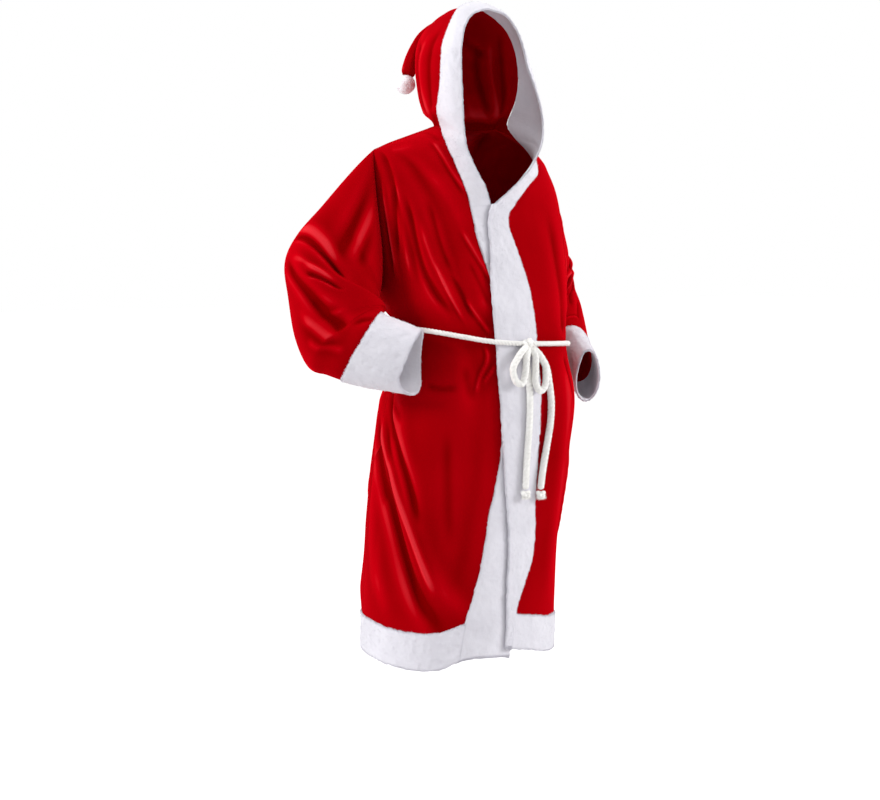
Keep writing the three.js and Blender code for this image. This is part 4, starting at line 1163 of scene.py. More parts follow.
# %% Waist rope, knot and bow
WAIST_FUZZ, LOOP_FUZZ = 2400, 1400
BELT = table("angle z off", [
    [-180, -492, 10], [-135, -474, 11], [-95, -462, 12.5], [-60, -468, 11], [-35, -482, 11],
    [-20, -491, 19.2], [-8, -496, 20.5], [4, -499, 20.5], [16, -501, 20], [32, -503, 15],
    [60, -507, 8], [100, -510, 10], [140, -502, 11], [180, -492, 10],
])
BELT_KNOT = {"x": 26, "z": -501, "off": 23.5}
BOW_RIGHT = column_names([
    [0, 22, -505, 27], [0.1, 8, -513, 31], [0.22, -8, -532, 33], [0.42, -20, -562, 33],
    [0.52, -15, -583, 32], [0.6, -4, -588, 32], [0.7, 5, -574, 32], [0.86, 11, -548, 32.5],
    [0.95, 16, -522, 32.8], [1, 24, -506, 28],
])
BOW_LEFT = column_names([
    [0, 28, -506, 28], [0.06, 34, -522, 33.5], [0.16, 33, -552, 33], [0.38, 30, -590, 32],
    [0.5, 39, -606, 32], [0.6, 51, -598, 32], [0.75, 57, -566, 34], [0.88, 53, -540, 35],
    [0.95, 42, -520, 33.5], [1, 30, -505, 28],
])


def waist_path(count=720):
    """Way of the belt round the waist, from the knot and back to it."""
    start = angle_of_x(BELT_KNOT["x"], SHOULDER_TO_LINE - BELT_KNOT["z"])
    angle = (start + 360 * steps(count) + 180) % 360 - 180
    down = SHOULDER_TO_LINE - column(BELT, angle, "z")
    point = stand_off(body_point(angle, down, creased=False), down, column(BELT, angle, "off"))
    return even_path(point, ROPE_STEP)


def bow_knot():
    """The tied knot: a wide trefoil under a short upright wrap."""
    middle = front_point(*(np.array([BELT_KNOT[key]]) for key in ("x", "z", "off")))[0]
    line = trefoil(middle, 11.5, 5.0, 10.5, turn=0.9)
    tied = rope(even_path(np.concatenate([line, line[:3]]), 1.6), 5.2, 22, 18)
    turn = 2 * np.pi * steps(60)
    wrap = middle + np.stack([3 * np.sin(turn), 8.5 * np.cos(turn) - 1, 12 * np.sin(turn)], -1)
    return [tied, rope(even_path(wrap, 1.6), 4.6, 22, 18)]


loops = [rope_path(BOW_RIGHT), rope_path(BOW_LEFT)]
belt = make_piece("rope_belt", [
    rope(waist_path()), fuzz(waist_path(), ROPE / 2, WAIST_FUZZ, 3), *bow_knot(),
    *[soft_rope(loop) for loop in loops],
    *[fuzz(loop, SOFT_ROPE / 2, LOOP_FUZZ, 5) for loop in loops],
])
dress(belt, "rope", "belt")

# %% [markdown]
# ## Velvet panels of the body
#
# The back is one panel between the two side seams, and each front runs from its side seam and
# armhole to the white band. The left front lies over the right one. The panels share the body
# surface, so only their edges differ: each edge is an angle for every height.

# %% Panels as grids and walls
VELVET_LOW, VELVET_HIGH = -2.0, 0.0
SEAM_GAP = 0.4
TOP_GAP = 0.4
SEAM_DIP, SEAM_WIDTH = 0.5, 3.0
PANEL_ROW = 6.5
SKIRT_END = HEM_DOWN - HEM_BAND - SEAM_GAP / 2


def gap_angle(down, gap=SEAM_GAP):
    """Half a seam's gap as an angle."""
    return np.degrees(gap / 2 / column(BODY_FORM, down, "half"))


def neck_spread(t, down):
    """Columns of the back stand closer together at the neck."""
    power = mix(2.15, 1.0, fade(down, 0, 260))
    return 0.5 + 0.5 * signed_power(2 * t - 1, power)


def seam_dip(distances, sewn):
    """How far the cloth dips at its sewn edges: a bell of the distance to each."""
    total = 0.0
    for distance, is_sewn in zip(distances, sewn):
        if is_sewn:
            total = total + np.exp(-((distance / SEAM_WIDTH) ** 2))
    return SEAM_DIP * np.minimum(total, 1)


def outward_normals(points, toward, around=False):
    """Grid normals, turned to the side that a rough direction gives."""
    normals = grid_normals(points, around)
    flip = np.where((normals * toward).sum(-1, keepdims=True) < 0, -1.0, 1.0)
    return normals * flip


def body_grid(rows, columns, start, end, lift, shift, spread=None):
    """Grid of body points between two edges: rows go down, columns go round from start to end."""
    down = rows[:, None] + 0 * columns[None]
    share = columns[None] + 0 * down if spread is None else spread(columns[None], down)
    angle = mix(start(down), end(down), share)
    points = body_point(angle, down, lift(angle, down))
    points[..., 1] += shift
    toward = points * [1, 1, 0] + [0, 0, 30]
    toward[..., 2] += 300 * (1 - fade(down, 0, 60))
    return points, outward_normals(points, toward)


def panel_rows(first, last):
    """Rows of a panel: close together at the shoulder, even below it."""
    count = int((last - first) / PANEL_ROW)
    return first + (last - first) * steps(count) ** 1.12


def cloth_wall(points, normals, low, high, sewn, around=False):
    """Wall of cloth about a grid, dipping at its sewn edges (left, right, top, bottom)."""
    distances = edge_distances(points)
    dip = seam_dip(distances, sewn)[..., None]
    return wall(points + normals * (high - dip), points + normals * (low - 0.6 * dip), around)


print("seams are", SEAM_GAP, "mm wide")

# %% [markdown]
# ## Back and fronts as pieces
#
# Each panel also reports its flat cut, which is measured on the same grid: the widest row, the
# longest column, and the sum of the small areas between the points.


# %% Back and fronts
def front_panel(side):
    """A velvet front, from the side seam and armhole to its white band."""
    name, lift = side_name(side), front_lift(side)
    start = lambda down: side * (
        arm_angle(down, "front") - np.where(down < ARMHOLE_DOWN, 0, gap_angle(down))
    )
    end = lambda down: seam_angle(down, name) + side * gap_angle(down)
    count = 112 if side < 0 else 70
    points, normals = body_grid(
        panel_rows(TOP_GAP, SKIRT_END), gathered_steps(count, 0.3), start, end, lift, -SEAM_GAP / 2
    )
    body = cloth_wall(points, normals, VELVET_LOW, VELVET_HIGH, (1, 1, 0, 1))
    relief = relief_of(points, normals)
    return make_piece(f"velvet_front_{name}", [body], relief=relief), points


def back_panel():
    """The velvet back, from side seam to side seam."""
    gap = lambda down: np.where(down < ARMHOLE_DOWN, 0, gap_angle(down))
    start = lambda down: arm_angle(down, "back") + gap(down)
    end = lambda down: 360 - arm_angle(down, "back") - gap(down)
    points, normals = body_grid(
        panel_rows(TOP_GAP, SKIRT_END), gathered_steps(108, 0.2), start, end, no_lift,
        SEAM_GAP / 2, neck_spread,
    )
    body = cloth_wall(points, normals, VELVET_LOW, VELVET_HIGH, (1, 1, 0, 1))
    return make_piece("velvet_back", [body], relief=relief_of(points, normals)), points


def cut_of(points):
    """Flat cut of a panel: greatest width and length along the cloth, and area, in metres."""
    left, _, top, _ = edge_distances(points)
    a = np.diff(points, axis=1)[:-1]
    b = np.diff(points, axis=0)[:, :-1]
    area = np.linalg.norm(np.cross(a, b), axis=-1).sum() * MM**2
    return (float(left[:, -1].max()) * MM, float(top[-1].max()) * MM), float(area)


CUTS = {}
front_right, grid = front_panel(-1)
CUTS["front_right"] = cut_of(grid)
dress(front_right, "velvet", "front_right")
front_left, grid = front_panel(1)
CUTS["front_left"] = cut_of(grid)
dress(front_left, "velvet", "front_left")
back, grid = back_panel()
CUTS["back"] = cut_of(grid)
dress(back, "velvet", "back")

# %% [markdown]
# ## Sleeves and cuffs
#
# The sleeves are wide and batwing-like: each ring of the tube goes from an outer line to an
# inner line, and the first ring is the armhole itself. A lathe or a bent cylinder would lose
# that. The elbow and the forearm have deep slanting creases, because the arm is bent.

# %% Sleeve stations and folds
ARMHOLE_GAP = 0.25
SLEEVE_END, CUFF_END, CUFF_GAP = 9, 12.5, 0.006
SLEEVE_COLUMNS = "k ox oy oz ix iy iz front back"
SLEEVE_RIGHT = table(SLEEVE_COLUMNS, [
    [0, -262, 0, -66, -236, 6, -392, 64, 64], [1, -300, 20, -104, -246, 6, -392, 62, 76],
    [2, -363, 40, -179, -250, 2, -396, 64, 78], [3, -424, 60, -249, -250, -8, -401, 72, 74],
    [4, -450, 74, -312, -249, -20, -407, 80, 70], [5, -447, 66, -390, -250, -32, -413, 78, 68],
    [6, -443, 45, -480, -255, -44, -417, 72, 64], [7, -427, 15, -546, -268, -55, -418, 64, 58],
    [8, -397, -12, -563, -277, -63, -422, 56, 52], [9, -365, -30, -577, -284, -70, -427, 50, 46],
    [12.5, -248, -112, -605, -216, -132, -465, 40, 36],
    [13.3, -221, -131, -611, -200, -146, -474, 38, 34],
])
SLEEVE_LEFT = table(SLEEVE_COLUMNS, [
    [0, 232, 0, -80, 236, 6, -392, 64, 64], [1, 266, 38, -126, 257, 20, -396, 60, 72],
    [2, 298, 82, -186, 266, 38, -400, 60, 74], [3, 336, 120, -256, 270, 50, -406, 64, 72],
    [4, 368, 146, -324, 272, 56, -413, 66, 70], [5, 388, 150, -392, 272, 50, -421, 66, 68],
    [6, 398, 128, -458, 275, 34, -431, 64, 64], [7, 392, 94, -522, 273, 12, -443, 58, 58],
    [8, 383, 60, -572, 270, -10, -457, 52, 52], [9, 374, 26, -612, 276, -34, -474, 44, 44],
    [12.5, 314, -74, -655, 270, -108, -522, 34, 30],
    [13.3, 300, -97, -665, 269, -125, -533, 32, 28],
])
print("stations of a sleeve:", len(SLEEVE_RIGHT["rows"]))

# %% [markdown]
# ## Folds of the sleeves
#
# The right elbow has the deepest creases of the robe, because the cloth is pushed together
# there. The left sleeve is mostly hidden in the view, so it got creases of the same kind.

# %% Folds and creases of the sleeves
SLEEVE_FOLDS = table(FOLD_COLUMNS, [
    [60, 1.2, 80, 3.2, 0, -6, 18, 0.8, 0.8, 2],
    [250, 3.4, 210, 5.6, 0, -9, 20, 0.6, 0.6, 2],
    [300, 1.6, 280, 4.2, 0, -7, 22, 0.8, 0.8, 2],
])
SLEEVE_REACH, SLEEVE_AROUND = 58, 160
CREASES_RIGHT = [
    (-12, 6.5, 0.4, 30, [(0, 3.2), (14, 3.13), (36, 3.1), (60, 3.2), (80, 3.45), (96, 3.9)]),
    (7, 13, 0, 40, [(-4, 2.9), (12, 2.85), (36, 2.8), (60, 2.9), (80, 3.1), (92, 3.4)]),
    (-9, 6, 0.5, 20, [(48, 4.35), (72, 4.4), (92, 4.8)]),
    (6, 9, 0, 30, [(44, 4.0), (70, 4.1), (90, 4.4)]),
    (-15, 13, 0.3, 50, [(2, 3.85), (19, 4.3), (43, 4.9), (62, 5.5), (84, 6.5), (94, 7.6)]),
    (8, 11, 0, 60, [(28, 5.3), (50, 5.9), (70, 6.8), (84, 8.0)]),
    (-4, 8, 0, 20, [(54, 5.2), (72, 5.5), (92, 5.85)]),
    (6, 12, 0, 40, [(20, 3.7), (50, 3.9), (84, 4.1)]),
    (-4, 13, 0, 50, [(46, 0.9), (66, 1.9), (84, 2.8)]),
    (-5, 12, 0, 40, [(84, 1.2), (92, 2.0), (100, 2.8)]),
    (4, 12, 0, 40, [(72, 0.9), (84, 2.0), (94, 2.9)]),
    (4, 9, 0, 24, [(40, 6.4), (58, 7.2), (72, 8.4)]),
    (-4, 9, 0, 30, [(100, 7.6), (120, 7.9), (140, 8.6)]),
    (-6, 10, 0.7, 50, [(340, 3.4), (310, 3.6), (280, 4.2), (250, 4.9)]),
    (-5, 12, 0.3, 50, [(330, 4.6), (290, 5.6), (262, 6.8)]),
    (4, 9, 0, 40, [(300, 2.4), (276, 3.1), (250, 3.6)]),
    (-4, 9, 0, 30, [(240, 6.6), (222, 7.4), (206, 8.4)]),
]
CREASES_LEFT = [
    (6, 9, 0.7, 40, [(150, 1.6), (120, 2.3), (92, 3.1), (74, 3.7)]),
    (5, 8, 0.6, 30, [(186, 8.5), (160, 7.9), (132, 7.4), (110, 7.2)]),
    (-7, 12, 0.4, 50, [(60, 3.6), (84, 4.4), (110, 5.4), (134, 6.6)]),
    (-4, 9, 0, 30, [(96, 5.8), (112, 6.7), (124, 7.8)]),
    (-4, 11, 0, 40, [(60, 1.0), (66, 1.9), (70, 2.8)]),
    (7, 9, 0.8, 50, [(30, 3.5), (0, 3.3), (330, 3.4), (300, 3.8), (270, 4.5)][::-1]),
    (-6, 13, 0.3, 50, [(20, 4.9), (50, 5.6), (76, 6.8)]),
    (-5, 11, 0.3, 50, [(330, 4.8), (296, 5.7), (262, 6.9)]),
    (4, 9, 0, 40, [(300, 2.2), (276, 3.0), (250, 3.6)]),
    (-4, 9, 0, 30, [(240, 6.4), (222, 7.4), (206, 8.4)]),
]
print("creases of the sleeves:", len(CREASES_RIGHT), "and", len(CREASES_LEFT))

# %% [markdown]
# ## Surface of a sleeve
#
# A ring at each station is a rounded oval across the outer and the inner line. Near the
# shoulder the rings change into the armhole of the body, so sleeve and panels share an edge.


# %% Sleeve surface
def sleeve_point(side, angle, k):
    """Point of a sleeve. Angle 0 is the outer line, 90 in front, 180 the inner line and 270
    behind; k is the station. The first rings are mixed with the armhole of the body."""
    tab = SLEEVE_RIGHT if side < 0 else SLEEVE_LEFT
    angle, k = np.broadcast_arrays(np.asarray(angle, float), np.asarray(k, float))
    line = lambda at, name: np.stack([column(tab, at, name + axis) for axis in "xyz"], -1)
    outer_line, inner_line = line(k, "o"), line(k, "i")
    middle, half = (outer_line + inner_line) / 2, (outer_line - inner_line) / 2
    inside = np.clip(k, 0.05, CUFF_END + 0.75)
    centre = lambda at: line(at, "o") + line(at, "i")
    travel = centre(inside + 0.05) - centre(inside - 0.05)
    straight = unit(half)
    ahead = np.array([0.0, -1.0, 0.0]) + straight * straight[..., 1:2]
    ahead = unit(mix(ahead, unit(np.cross(travel, half) * side), fade(k, 0, 4)[..., None]))
    c, s = np.cos(np.radians(angle)), np.sin(np.radians(angle))
    depth = np.where(s >= 0, column(tab, k, "front"), column(tab, k, "back"))
    turn = angle % 360
    creases = CREASES_RIGHT if side < 0 else CREASES_LEFT
    fold = fold_height(SLEEVE_FOLDS, turn, k, 90)
    fold = fold + crease_height(creases, turn, k, 90, SLEEVE_REACH)
    swell = 1 + fold / np.maximum(depth, 60)
    ring = middle + half * (signed_power(c, 0.95) * (1 + fold / 160))[..., None]
    ring = ring + ahead * (depth * swell * signed_power(s, 0.95))[..., None]
    down = ARMHOLE_DOWN * (1 - np.cos(np.radians(turn))) / 2
    capped = np.minimum(down, ARMHOLE_DOWN - 0.001)
    edge = np.where(turn <= 180, column(ARMHOLE, capped, "front"), column(ARMHOLE, capped, "back"))
    arm = body_point(side * edge, down)
    arm[..., 0] += side * ARMHOLE_GAP
    return mix(arm, ring, fade(k, 0, 2)[..., None])


def sleeve_grid(side, stations, around_count):
    """Grid of a sleeve between stations, with normals turned away from the arm."""
    angle = 360 * steps(around_count)[None, :-1]
    points = sleeve_point(side, angle, stations)
    middle = points.mean(1, keepdims=True)
    return points, outward_normals(points, points - middle, around=True)


def sleeve(side):
    """A velvet sleeve, from the armhole to the cuff."""
    name = side_name(side)
    stations = np.linspace(0, SLEEVE_END - CUFF_GAP, 132)
    points, normals = sleeve_grid(side, stations[:, None], SLEEVE_AROUND)
    top = np.array([0.0, 0.0, 1.0])
    ridge = np.maximum(np.cos(2 * np.pi * steps(SLEEVE_AROUND)[:-1]), 0) ** 4
    share = (ridge[None] * (1 - fade(stations, 0, 1))[:, None])[..., None]
    normals = unit(mix(normals, top, share))
    body = cloth_wall(points, normals, VELVET_LOW, VELVET_HIGH, (0, 0, 1, 1), around=True)
    relief = relief_of(points, normals, around=True)
    return make_piece(f"velvet_sleeve_{name}", [body], relief=relief), points


for side, name in ((-1, "right"), (1, "left")):
    piece, grid = sleeve(side)
    CUTS[f"sleeve_{name}"] = cut_of(grid)
    dress(piece, "velvet", f"sleeve_{name}")

# %% [markdown]
# ## Plush trims
#
# The white trims are a short thick plush. It is softer than velvet: its edges are round, its
# face is slightly lumpy, and hairs stand out along its outline. So a plush piece is a wall
# whose outer face swells up from its edges in a quarter circle, with lumps of noise added, and
# a seeded crowd of hairs that is densest at the edges.

# %% Plush walls with lumps and hairs
PLUSH_LOW, PLUSH_HIGH = -2.0, 3.0
PLUSH_ROUND, PLUSH_GAP, PLUSH_LIP = 4.0, 0.06, 2.6
PLUSH_SEED = 11
EDGE_HAIRS = 0.7


def fringe(points, distances, directions, free):
    """The grid with its free edges pushed out in uneven tufts: noise of two sizes, strongest at
    the edge and gone a few millimetres inside."""
    tufts = 1.3 + 1.5 * lattice_noise(points, 11.0, PLUSH_SEED)
    tufts = tufts + 0.8 * lattice_noise(points, 5.0, 5)
    for distance, direction, is_free in zip(distances, directions, free):
        if is_free:
            points = points + direction * (tufts * np.exp(-((distance / 5.0) ** 2)))[..., None]
    return points


def plush_wall(points, normals, hair_count, seed, around=False, free=(1, 1, 1, 1)):
    """Plush about a grid: a wall with lumps and hairs. Free edges, in the order left, right, top,
    bottom, are round, tufted, and get most of the hairs; the others lie against their neighbour."""
    rng = np.random.default_rng(PLUSH_SEED + seed)
    distances = edge_distances(points)
    across, along = unit(np.gradient(points, axis=1)), unit(np.gradient(points, axis=0))
    directions = (-across, across, -along, along)
    nearest = np.minimum.reduce([d if f else d + 1e3 for d, f in zip(distances, free)])
    round_edge = np.sqrt(1 - (1 - np.clip(nearest / PLUSH_ROUND, 0, 1)) ** 2)
    lumps = 0.8 * lattice_noise(points, 9.0, 1) + 0.5 * lattice_noise(points, 4.2, 2)
    lumps = lumps + 0.9 * lattice_noise(points, 26.0, 3)
    high = mix(PLUSH_LOW + PLUSH_LIP, PLUSH_HIGH, round_edge) + lumps * (0.35 + 0.65 * round_edge)
    grid = fringe(points, distances, directions, free)
    outer = grid + normals * high[..., None]
    inner = grid + normals * PLUSH_LOW
    rows, cols = points.shape[:2]
    row = rng.uniform(0, rows - 1, hair_count)
    col = rng.uniform(0, cols - 1, hair_count)
    chosen = np.flatnonzero(free)[rng.integers(0, sum(free), hair_count)]
    near = rng.random(hair_count) < EDGE_HAIRS
    inset = 1.6 * rng.random(hair_count) ** 2
    at_edge = [near & (chosen == which) for which in range(4)]
    col = np.where(at_edge[0], inset, np.where(at_edge[1], cols - 1 - inset, col))
    row = np.where(at_edge[2], inset, np.where(at_edge[3], rows - 1 - inset, row))
    away = on_grid(normals, row, col)
    place = on_grid(np.stack([distances[0], distances[2]], -1), row, col) * MM
    outline = np.zeros((hair_count, 3))
    for is_there, direction in zip(at_edge, directions):
        outline += is_there[:, None] * on_grid(direction, row, col)
    random = rng.normal(size=(hair_count, 3))
    direction = 0.45 * away + 0.3 * away * ~near[:, None] + 0.9 * outline + 0.4 * random
    root = on_grid(outer, row, col) - away * 0.6
    lengths = rng.uniform(2.0, 4.2, hair_count)
    widths = rng.uniform(0.35, 0.75, hair_count)
    crowd = hairs(root, unit(direction), lengths, widths, place, rng)
    return [wall(outer, inner, around), crowd]


print("share of the plush hairs that stand at its edges:", EDGE_HAIRS)

# %% [markdown]
# ## White bands and hem
#
# A band goes down each front edge from the bottom of the V, and the hem band has three parts,
# one to a panel. Where plush meets plush the gap is nearly nothing, so that no line shows.

# %% Bands down the fronts
ARM_ROWS = 13
V_ROW, HOOD_ROW = 7, 3
BAND_HAIRS, HEM_HAIRS, HEM_BACK_HAIRS = 9000, 4200, 5200


def arm_row(i):
    """Way down of a row of the armhole: rows stand close together at the shoulder."""
    return ARMHOLE_DOWN * (1 - math.cos(math.pi * i / ARM_ROWS)) / 2


V_DOWN = arm_row(V_ROW)


def front_band(side):
    """White band along a front edge, from the bottom of the V to the hem."""
    name, lift = side_name(side), front_lift(side)
    start = lambda down: seam_angle(down, name) - side * gap_angle(down, PLUSH_GAP)
    end = lambda down: angle_of_x(column(EDGE, down, f"{name}_inner"), down)
    rows = np.linspace(V_DOWN + PLUSH_GAP, HEM_DOWN, 260)
    points, normals = body_grid(rows, gathered_steps(30), start, end, lift, -SEAM_GAP / 2)
    body = plush_wall(points, normals, BAND_HAIRS, 20 + side, free=(1, 1, 0, 1))
    return make_piece(f"plush_band_{name}", body)


def hem_grid(start, end, lift, shift, count):
    """Grid of a hem band."""
    rows = np.linspace(HEM_DOWN - HEM_BAND + SEAM_GAP / 2, HEM_DOWN, 30)
    return body_grid(rows, steps(count), start, end, lift, shift)


def hem_front(side):
    """White hem of a front."""
    name, lift = side_name(side), front_lift(side)
    start = lambda down: side * (SIDE_SEAM - gap_angle(down, PLUSH_GAP))
    end = lambda down: seam_angle(down, name) + side * gap_angle(down, PLUSH_GAP)
    points, normals = hem_grid(start, end, lift, -PLUSH_GAP / 2, 110 if side < 0 else 90)
    body = plush_wall(points, normals, HEM_HAIRS, 30 + side, free=(0, 0, 1, 1))
    return make_piece(f"plush_hem_{name}", body)


def hem_back():
    """White hem of the back."""
    start = lambda down: SIDE_SEAM + gap_angle(down, PLUSH_GAP)
    end = lambda down: 360 - SIDE_SEAM - gap_angle(down, PLUSH_GAP)
    points, normals = hem_grid(start, end, no_lift, PLUSH_GAP / 2, 170)
    body = plush_wall(points, normals, HEM_BACK_HAIRS, 34, free=(0, 0, 1, 1))
    return make_piece("plush_hem_back", body)


for side, name in ((-1, "right"), (1, "left")):
    dress(front_band(side), "plush", f"band_{name}")
    dress(hem_front(side), "plush", f"hem_{name}")
dress(hem_back(), "plush", "hem_back")

# %% [markdown]
# ## Cuffs
#
# A cuff goes on from the end of its sleeve. Seen along the arm its mouth is an oval that is
# cut aslant, and a table gives how much further it reaches at each angle.

# %% Cuffs
CUFF_HAIRS, CUFF_AROUND = 6000, 130
MOUTH_RIGHT = table("angle further", [
    [0, 0.35], [28, -0.2], [55, -0.55], [83, -0.5], [111, -0.4], [138, -0.25], [166, -0.1],
    [194, 0], [222, 0.1], [249, 0.2], [277, 0.4], [305, 0.6], [332, 0.6], [360, 0.35],
])
MOUTH_LEFT = table("angle further", [
    [0, -0.5], [28, -0.7], [55, -0.7], [83, -0.5], [111, -0.2], [138, 0], [166, 0.25],
    [194, 0.5], [222, 0.7], [249, 0.6], [277, 0.3], [305, 0], [332, -0.3], [360, -0.5],
])


def cuff(side):
    """White cuff at a sleeve's end, with its mouth cut aslant."""
    name = side_name(side)
    angle = 360 * steps(CUFF_AROUND)[None, :-1]
    mouth = MOUTH_RIGHT if side < 0 else MOUTH_LEFT
    end = CUFF_END + column(mouth, angle, "further")
    stations = mix(SLEEVE_END + CUFF_GAP, end, steps(43)[:, None])
    points, normals = sleeve_grid(side, stations, CUFF_AROUND)
    body = plush_wall(
        points, normals, CUFF_HAIRS, 40 + side, around=True, free=(0, 0, 1, 1)
    )
    return make_piece(f"plush_cuff_{name}", body)


for side, name in ((-1, "right"), (1, "left")):
    dress(cuff(side), "plush", f"cuff_{name}")

# %% [markdown]
# ## Hood
#
# The hood is two velvet halves with a seam over the crown and down the back. Its lowest ring is
# the neck line of the robe, so it grows out of the shoulders without a step. Towards the crown
# the rings close to a ridge.

# %% Hood surface
HOOD_RISE, HOOD_SEAT = 282, -1.2
HOOD = table("up half mid_y back front seam", [
    [0, 92, -4, 62, 60, 72], [30, 103, -16, 112, 110, 84], [60, 109, -27, 146, 150, 85],
    [100, 111, -34, 170, 165, 84], [150, 109, -37, 186, 150, 84], [190, 101, -40, 192, 130, 86],
    [218, 87, -44, 192, 110, 88], [245, 66, -42, 168, 90, 91], [265, 44, -34, 126, 70, 94],
    [277, 22, -24, 76, 50, 98], [282, 0.8, -14, 32, 26, 104],
])
HOOD_CREASES = [
    (-4, 8, 0, 40, [(97, 236), (101, 160), (99, 80), (94, 12)]),
    (3.5, 8, 0, 40, [(108, 226), (114, 150), (110, 70), (100, 16)]),
    (-4, 10, 0, 40, [(122, 210), (128, 130), (120, 56), (106, 14)]),
    (-3.5, 10, 0, 30, [(150, 100), (146, 50), (140, 6)]),
    (3, 10, 0, 40, [(164, 150), (160, 90), (158, 24)]),
    (-3, 9, 0, 30, [(140, 230), (126, 190), (112, 168)]),
]
HOOD_START = arm_row(HOOD_ROW)


def neck_point(angle):
    """Neck line of the hood: half an oval round the back, then down the front edges."""
    turn, side = np.abs(angle), np.sign(angle)
    down = HOOD_START * np.clip(90 - turn, 0, None) / (90 - column(HOOD, 0, "seam"))
    edge = np.where(side < 0, seam_angle(down, "right"), seam_angle(down, "left"))
    front = body_point(edge, down)
    s, c = np.sin(np.radians(turn)), np.cos(np.radians(turn))
    x = side * NECK_HALF * s
    top, rise, half, narrow, drop = (
        column(BODY_FORM, 0, name) for name in ("z", "rise", "half", "narrow", "drop")
    )
    left = (half - np.sqrt(half**2 - 4 * narrow * np.maximum(x, 0))) / (2 * narrow)
    share = np.where(x > 0, left, -x / half)
    z = top + rise * (1 - share) - NECK_DIP * c * c - drop * left**2
    behind = np.stack([x, NECK_BACK * np.abs(c) + 0.6, z], -1)
    return np.where((turn < 90)[..., None], front, behind)


def hood_point(angle, up):
    """Point of the hood: an oval ring at each height, drawn to the neck line at its foot. Angle
    180 is the back ridge, positive angles are on the wearer's left."""
    angle, up = np.broadcast_arrays(np.asarray(angle, float), np.asarray(up, float))
    get = lambda name: column(HOOD, up, name)
    s, c = np.sin(np.radians(angle)), np.cos(np.radians(angle))
    depth = np.where(c >= 0, -get("front"), get("back"))
    fold = crease_height(HOOD_CREASES, np.abs(angle), up, 120) * fade(up, 0, 30)
    x = get("half") * signed_power(s, 0.94) * (1 + fold / 110)
    y = get("mid_y") + depth * np.abs(c) ** 0.94 * (1 + fold / 160)
    neck = neck_point(angle)
    share = 1 - fade(up, 0, 34)
    z = up + HOOD_SEAT + neck[..., 2] * (1 - up / HOOD_RISE)
    lean = 20 * fade(up, 200, 282) * fade(np.abs(angle), 120, 180)
    return np.stack([mix(x, neck[..., 0], share), mix(y, neck[..., 1], share), z - lean], -1)


print("creases of the hood:", len(HOOD_CREASES))

# %% [markdown]
# ## Halves of the hood
#
# Rows stand closer together towards the crown, where the hood closes fastest. Each half stops
# just short of the ridge, so that a fine seam line shows.


# %% Velvet halves of the hood
def hood_half(side):
    """A velvet half of the hood, from the trim to the back ridge."""
    name = side_name(side)
    up = (HOOD_RISE * np.sin(steps(64) * np.pi / 2))[:, None]
    gap = np.degrees(SEAM_GAP / 8 / np.maximum(column(HOOD, up, "half"), 20))
    angle = side * mix(column(HOOD, up, "seam"), 180 - gap, steps(58)[None])
    points = hood_point(angle, up + 0 * angle)
    normals = outward_normals(points, points + [0, 40, -90])
    body = cloth_wall(points, normals, VELVET_LOW, VELVET_HIGH, (1, 1, 1, 0))
    relief = relief_of(points, normals)
    return make_piece(f"velvet_hood_{name}", [body], relief=relief), points


for side, name in ((-1, "right"), (1, "left")):
    piece, grid = hood_half(side)
    CUTS[f"hood_{name}"] = cut_of(grid)
    dress(piece, "velvet", f"hood_{name}")

# %% [markdown]
# ## Trim of the hood
#
# The trim is one strip round the face that runs on down both neck edges to the V. Its outer
# edge is the hood's edge; its inner edge, the face line, is a table of places read from the
# view, with the right and the left side apart because the hood is slightly turned.

# %% Trim round the face and down the neck
FACE_EDGE = table("t rx ry rz lx ly lz", [
    [0, -36, -142.5, -182.8, -31, -151.2, -182.4], [0.1, -52, -144, -142, 4, -156, -154],
    [0.2, -72, -137, -102, 46, -152, -122], [0.3, -86, -126, -62, 90, -142, -82],
    [0.4, -92, -120, -20, 122, -131, -34], [0.5, -94, -117, 30, 128, -124, 24],
    [0.6, -95, -115, 84, 114, -118, 82], [0.7, -95, -112, 136, 96, -110, 134],
    [0.8, -88, -106, 188, 86, -102, 186], [0.88, -72, -98, 226, 70, -96, 226],
    [0.95, -40, -90, 256, 40, -90, 256], [1, 0, -86, 266, 0, -86, 266],
])
HOOD_SHARE = 0.36
TRIM_GAP, TRIM_SWELL, FLAT_SWELL = 1.4, 0.13, 0.04
TRIM_HAIRS = 12000
V_END = 0.06


def trim_outer(side, t):
    """Seam of the trim at t: up the neck edge of a front, then up the edge of the hood."""
    name, lift = side_name(side), front_lift(side)
    knots = HOOD_SHARE * steps(V_ROW - HOOD_ROW)
    rows = np.array([arm_row(i) for i in range(V_ROW, HOOD_ROW - 1, -1)])
    down = np.minimum(np.interp(t, knots, rows), V_DOWN - V_END)
    angle = seam_angle(down, name) - side * gap_angle(down)
    low = body_point(angle, down, lift(angle, down))
    up = HOOD_RISE * np.sin(np.clip((t - HOOD_SHARE) / (1 - HOOD_SHARE), 0, 1) * np.pi / 2)
    high = hood_point(side * column(HOOD, up, "seam"), up)
    return np.where((t < HOOD_SHARE)[..., None], low, high)


def trim_out(t, point):
    """Direction away from the chest at the V, and away from the head further up."""
    chest = unit(np.stack([0.3 * point[..., 0], -100 + 0 * t, 50 + 0 * t], -1))
    head = np.stack([
        point[..., 0], 0.35 * (point[..., 1] + 40), 0.8 * np.maximum(point[..., 2] - 120, 0)
    ], -1)
    return unit(mix(chest, unit(head), fade(t, 0.2, 0.5)[..., None]))


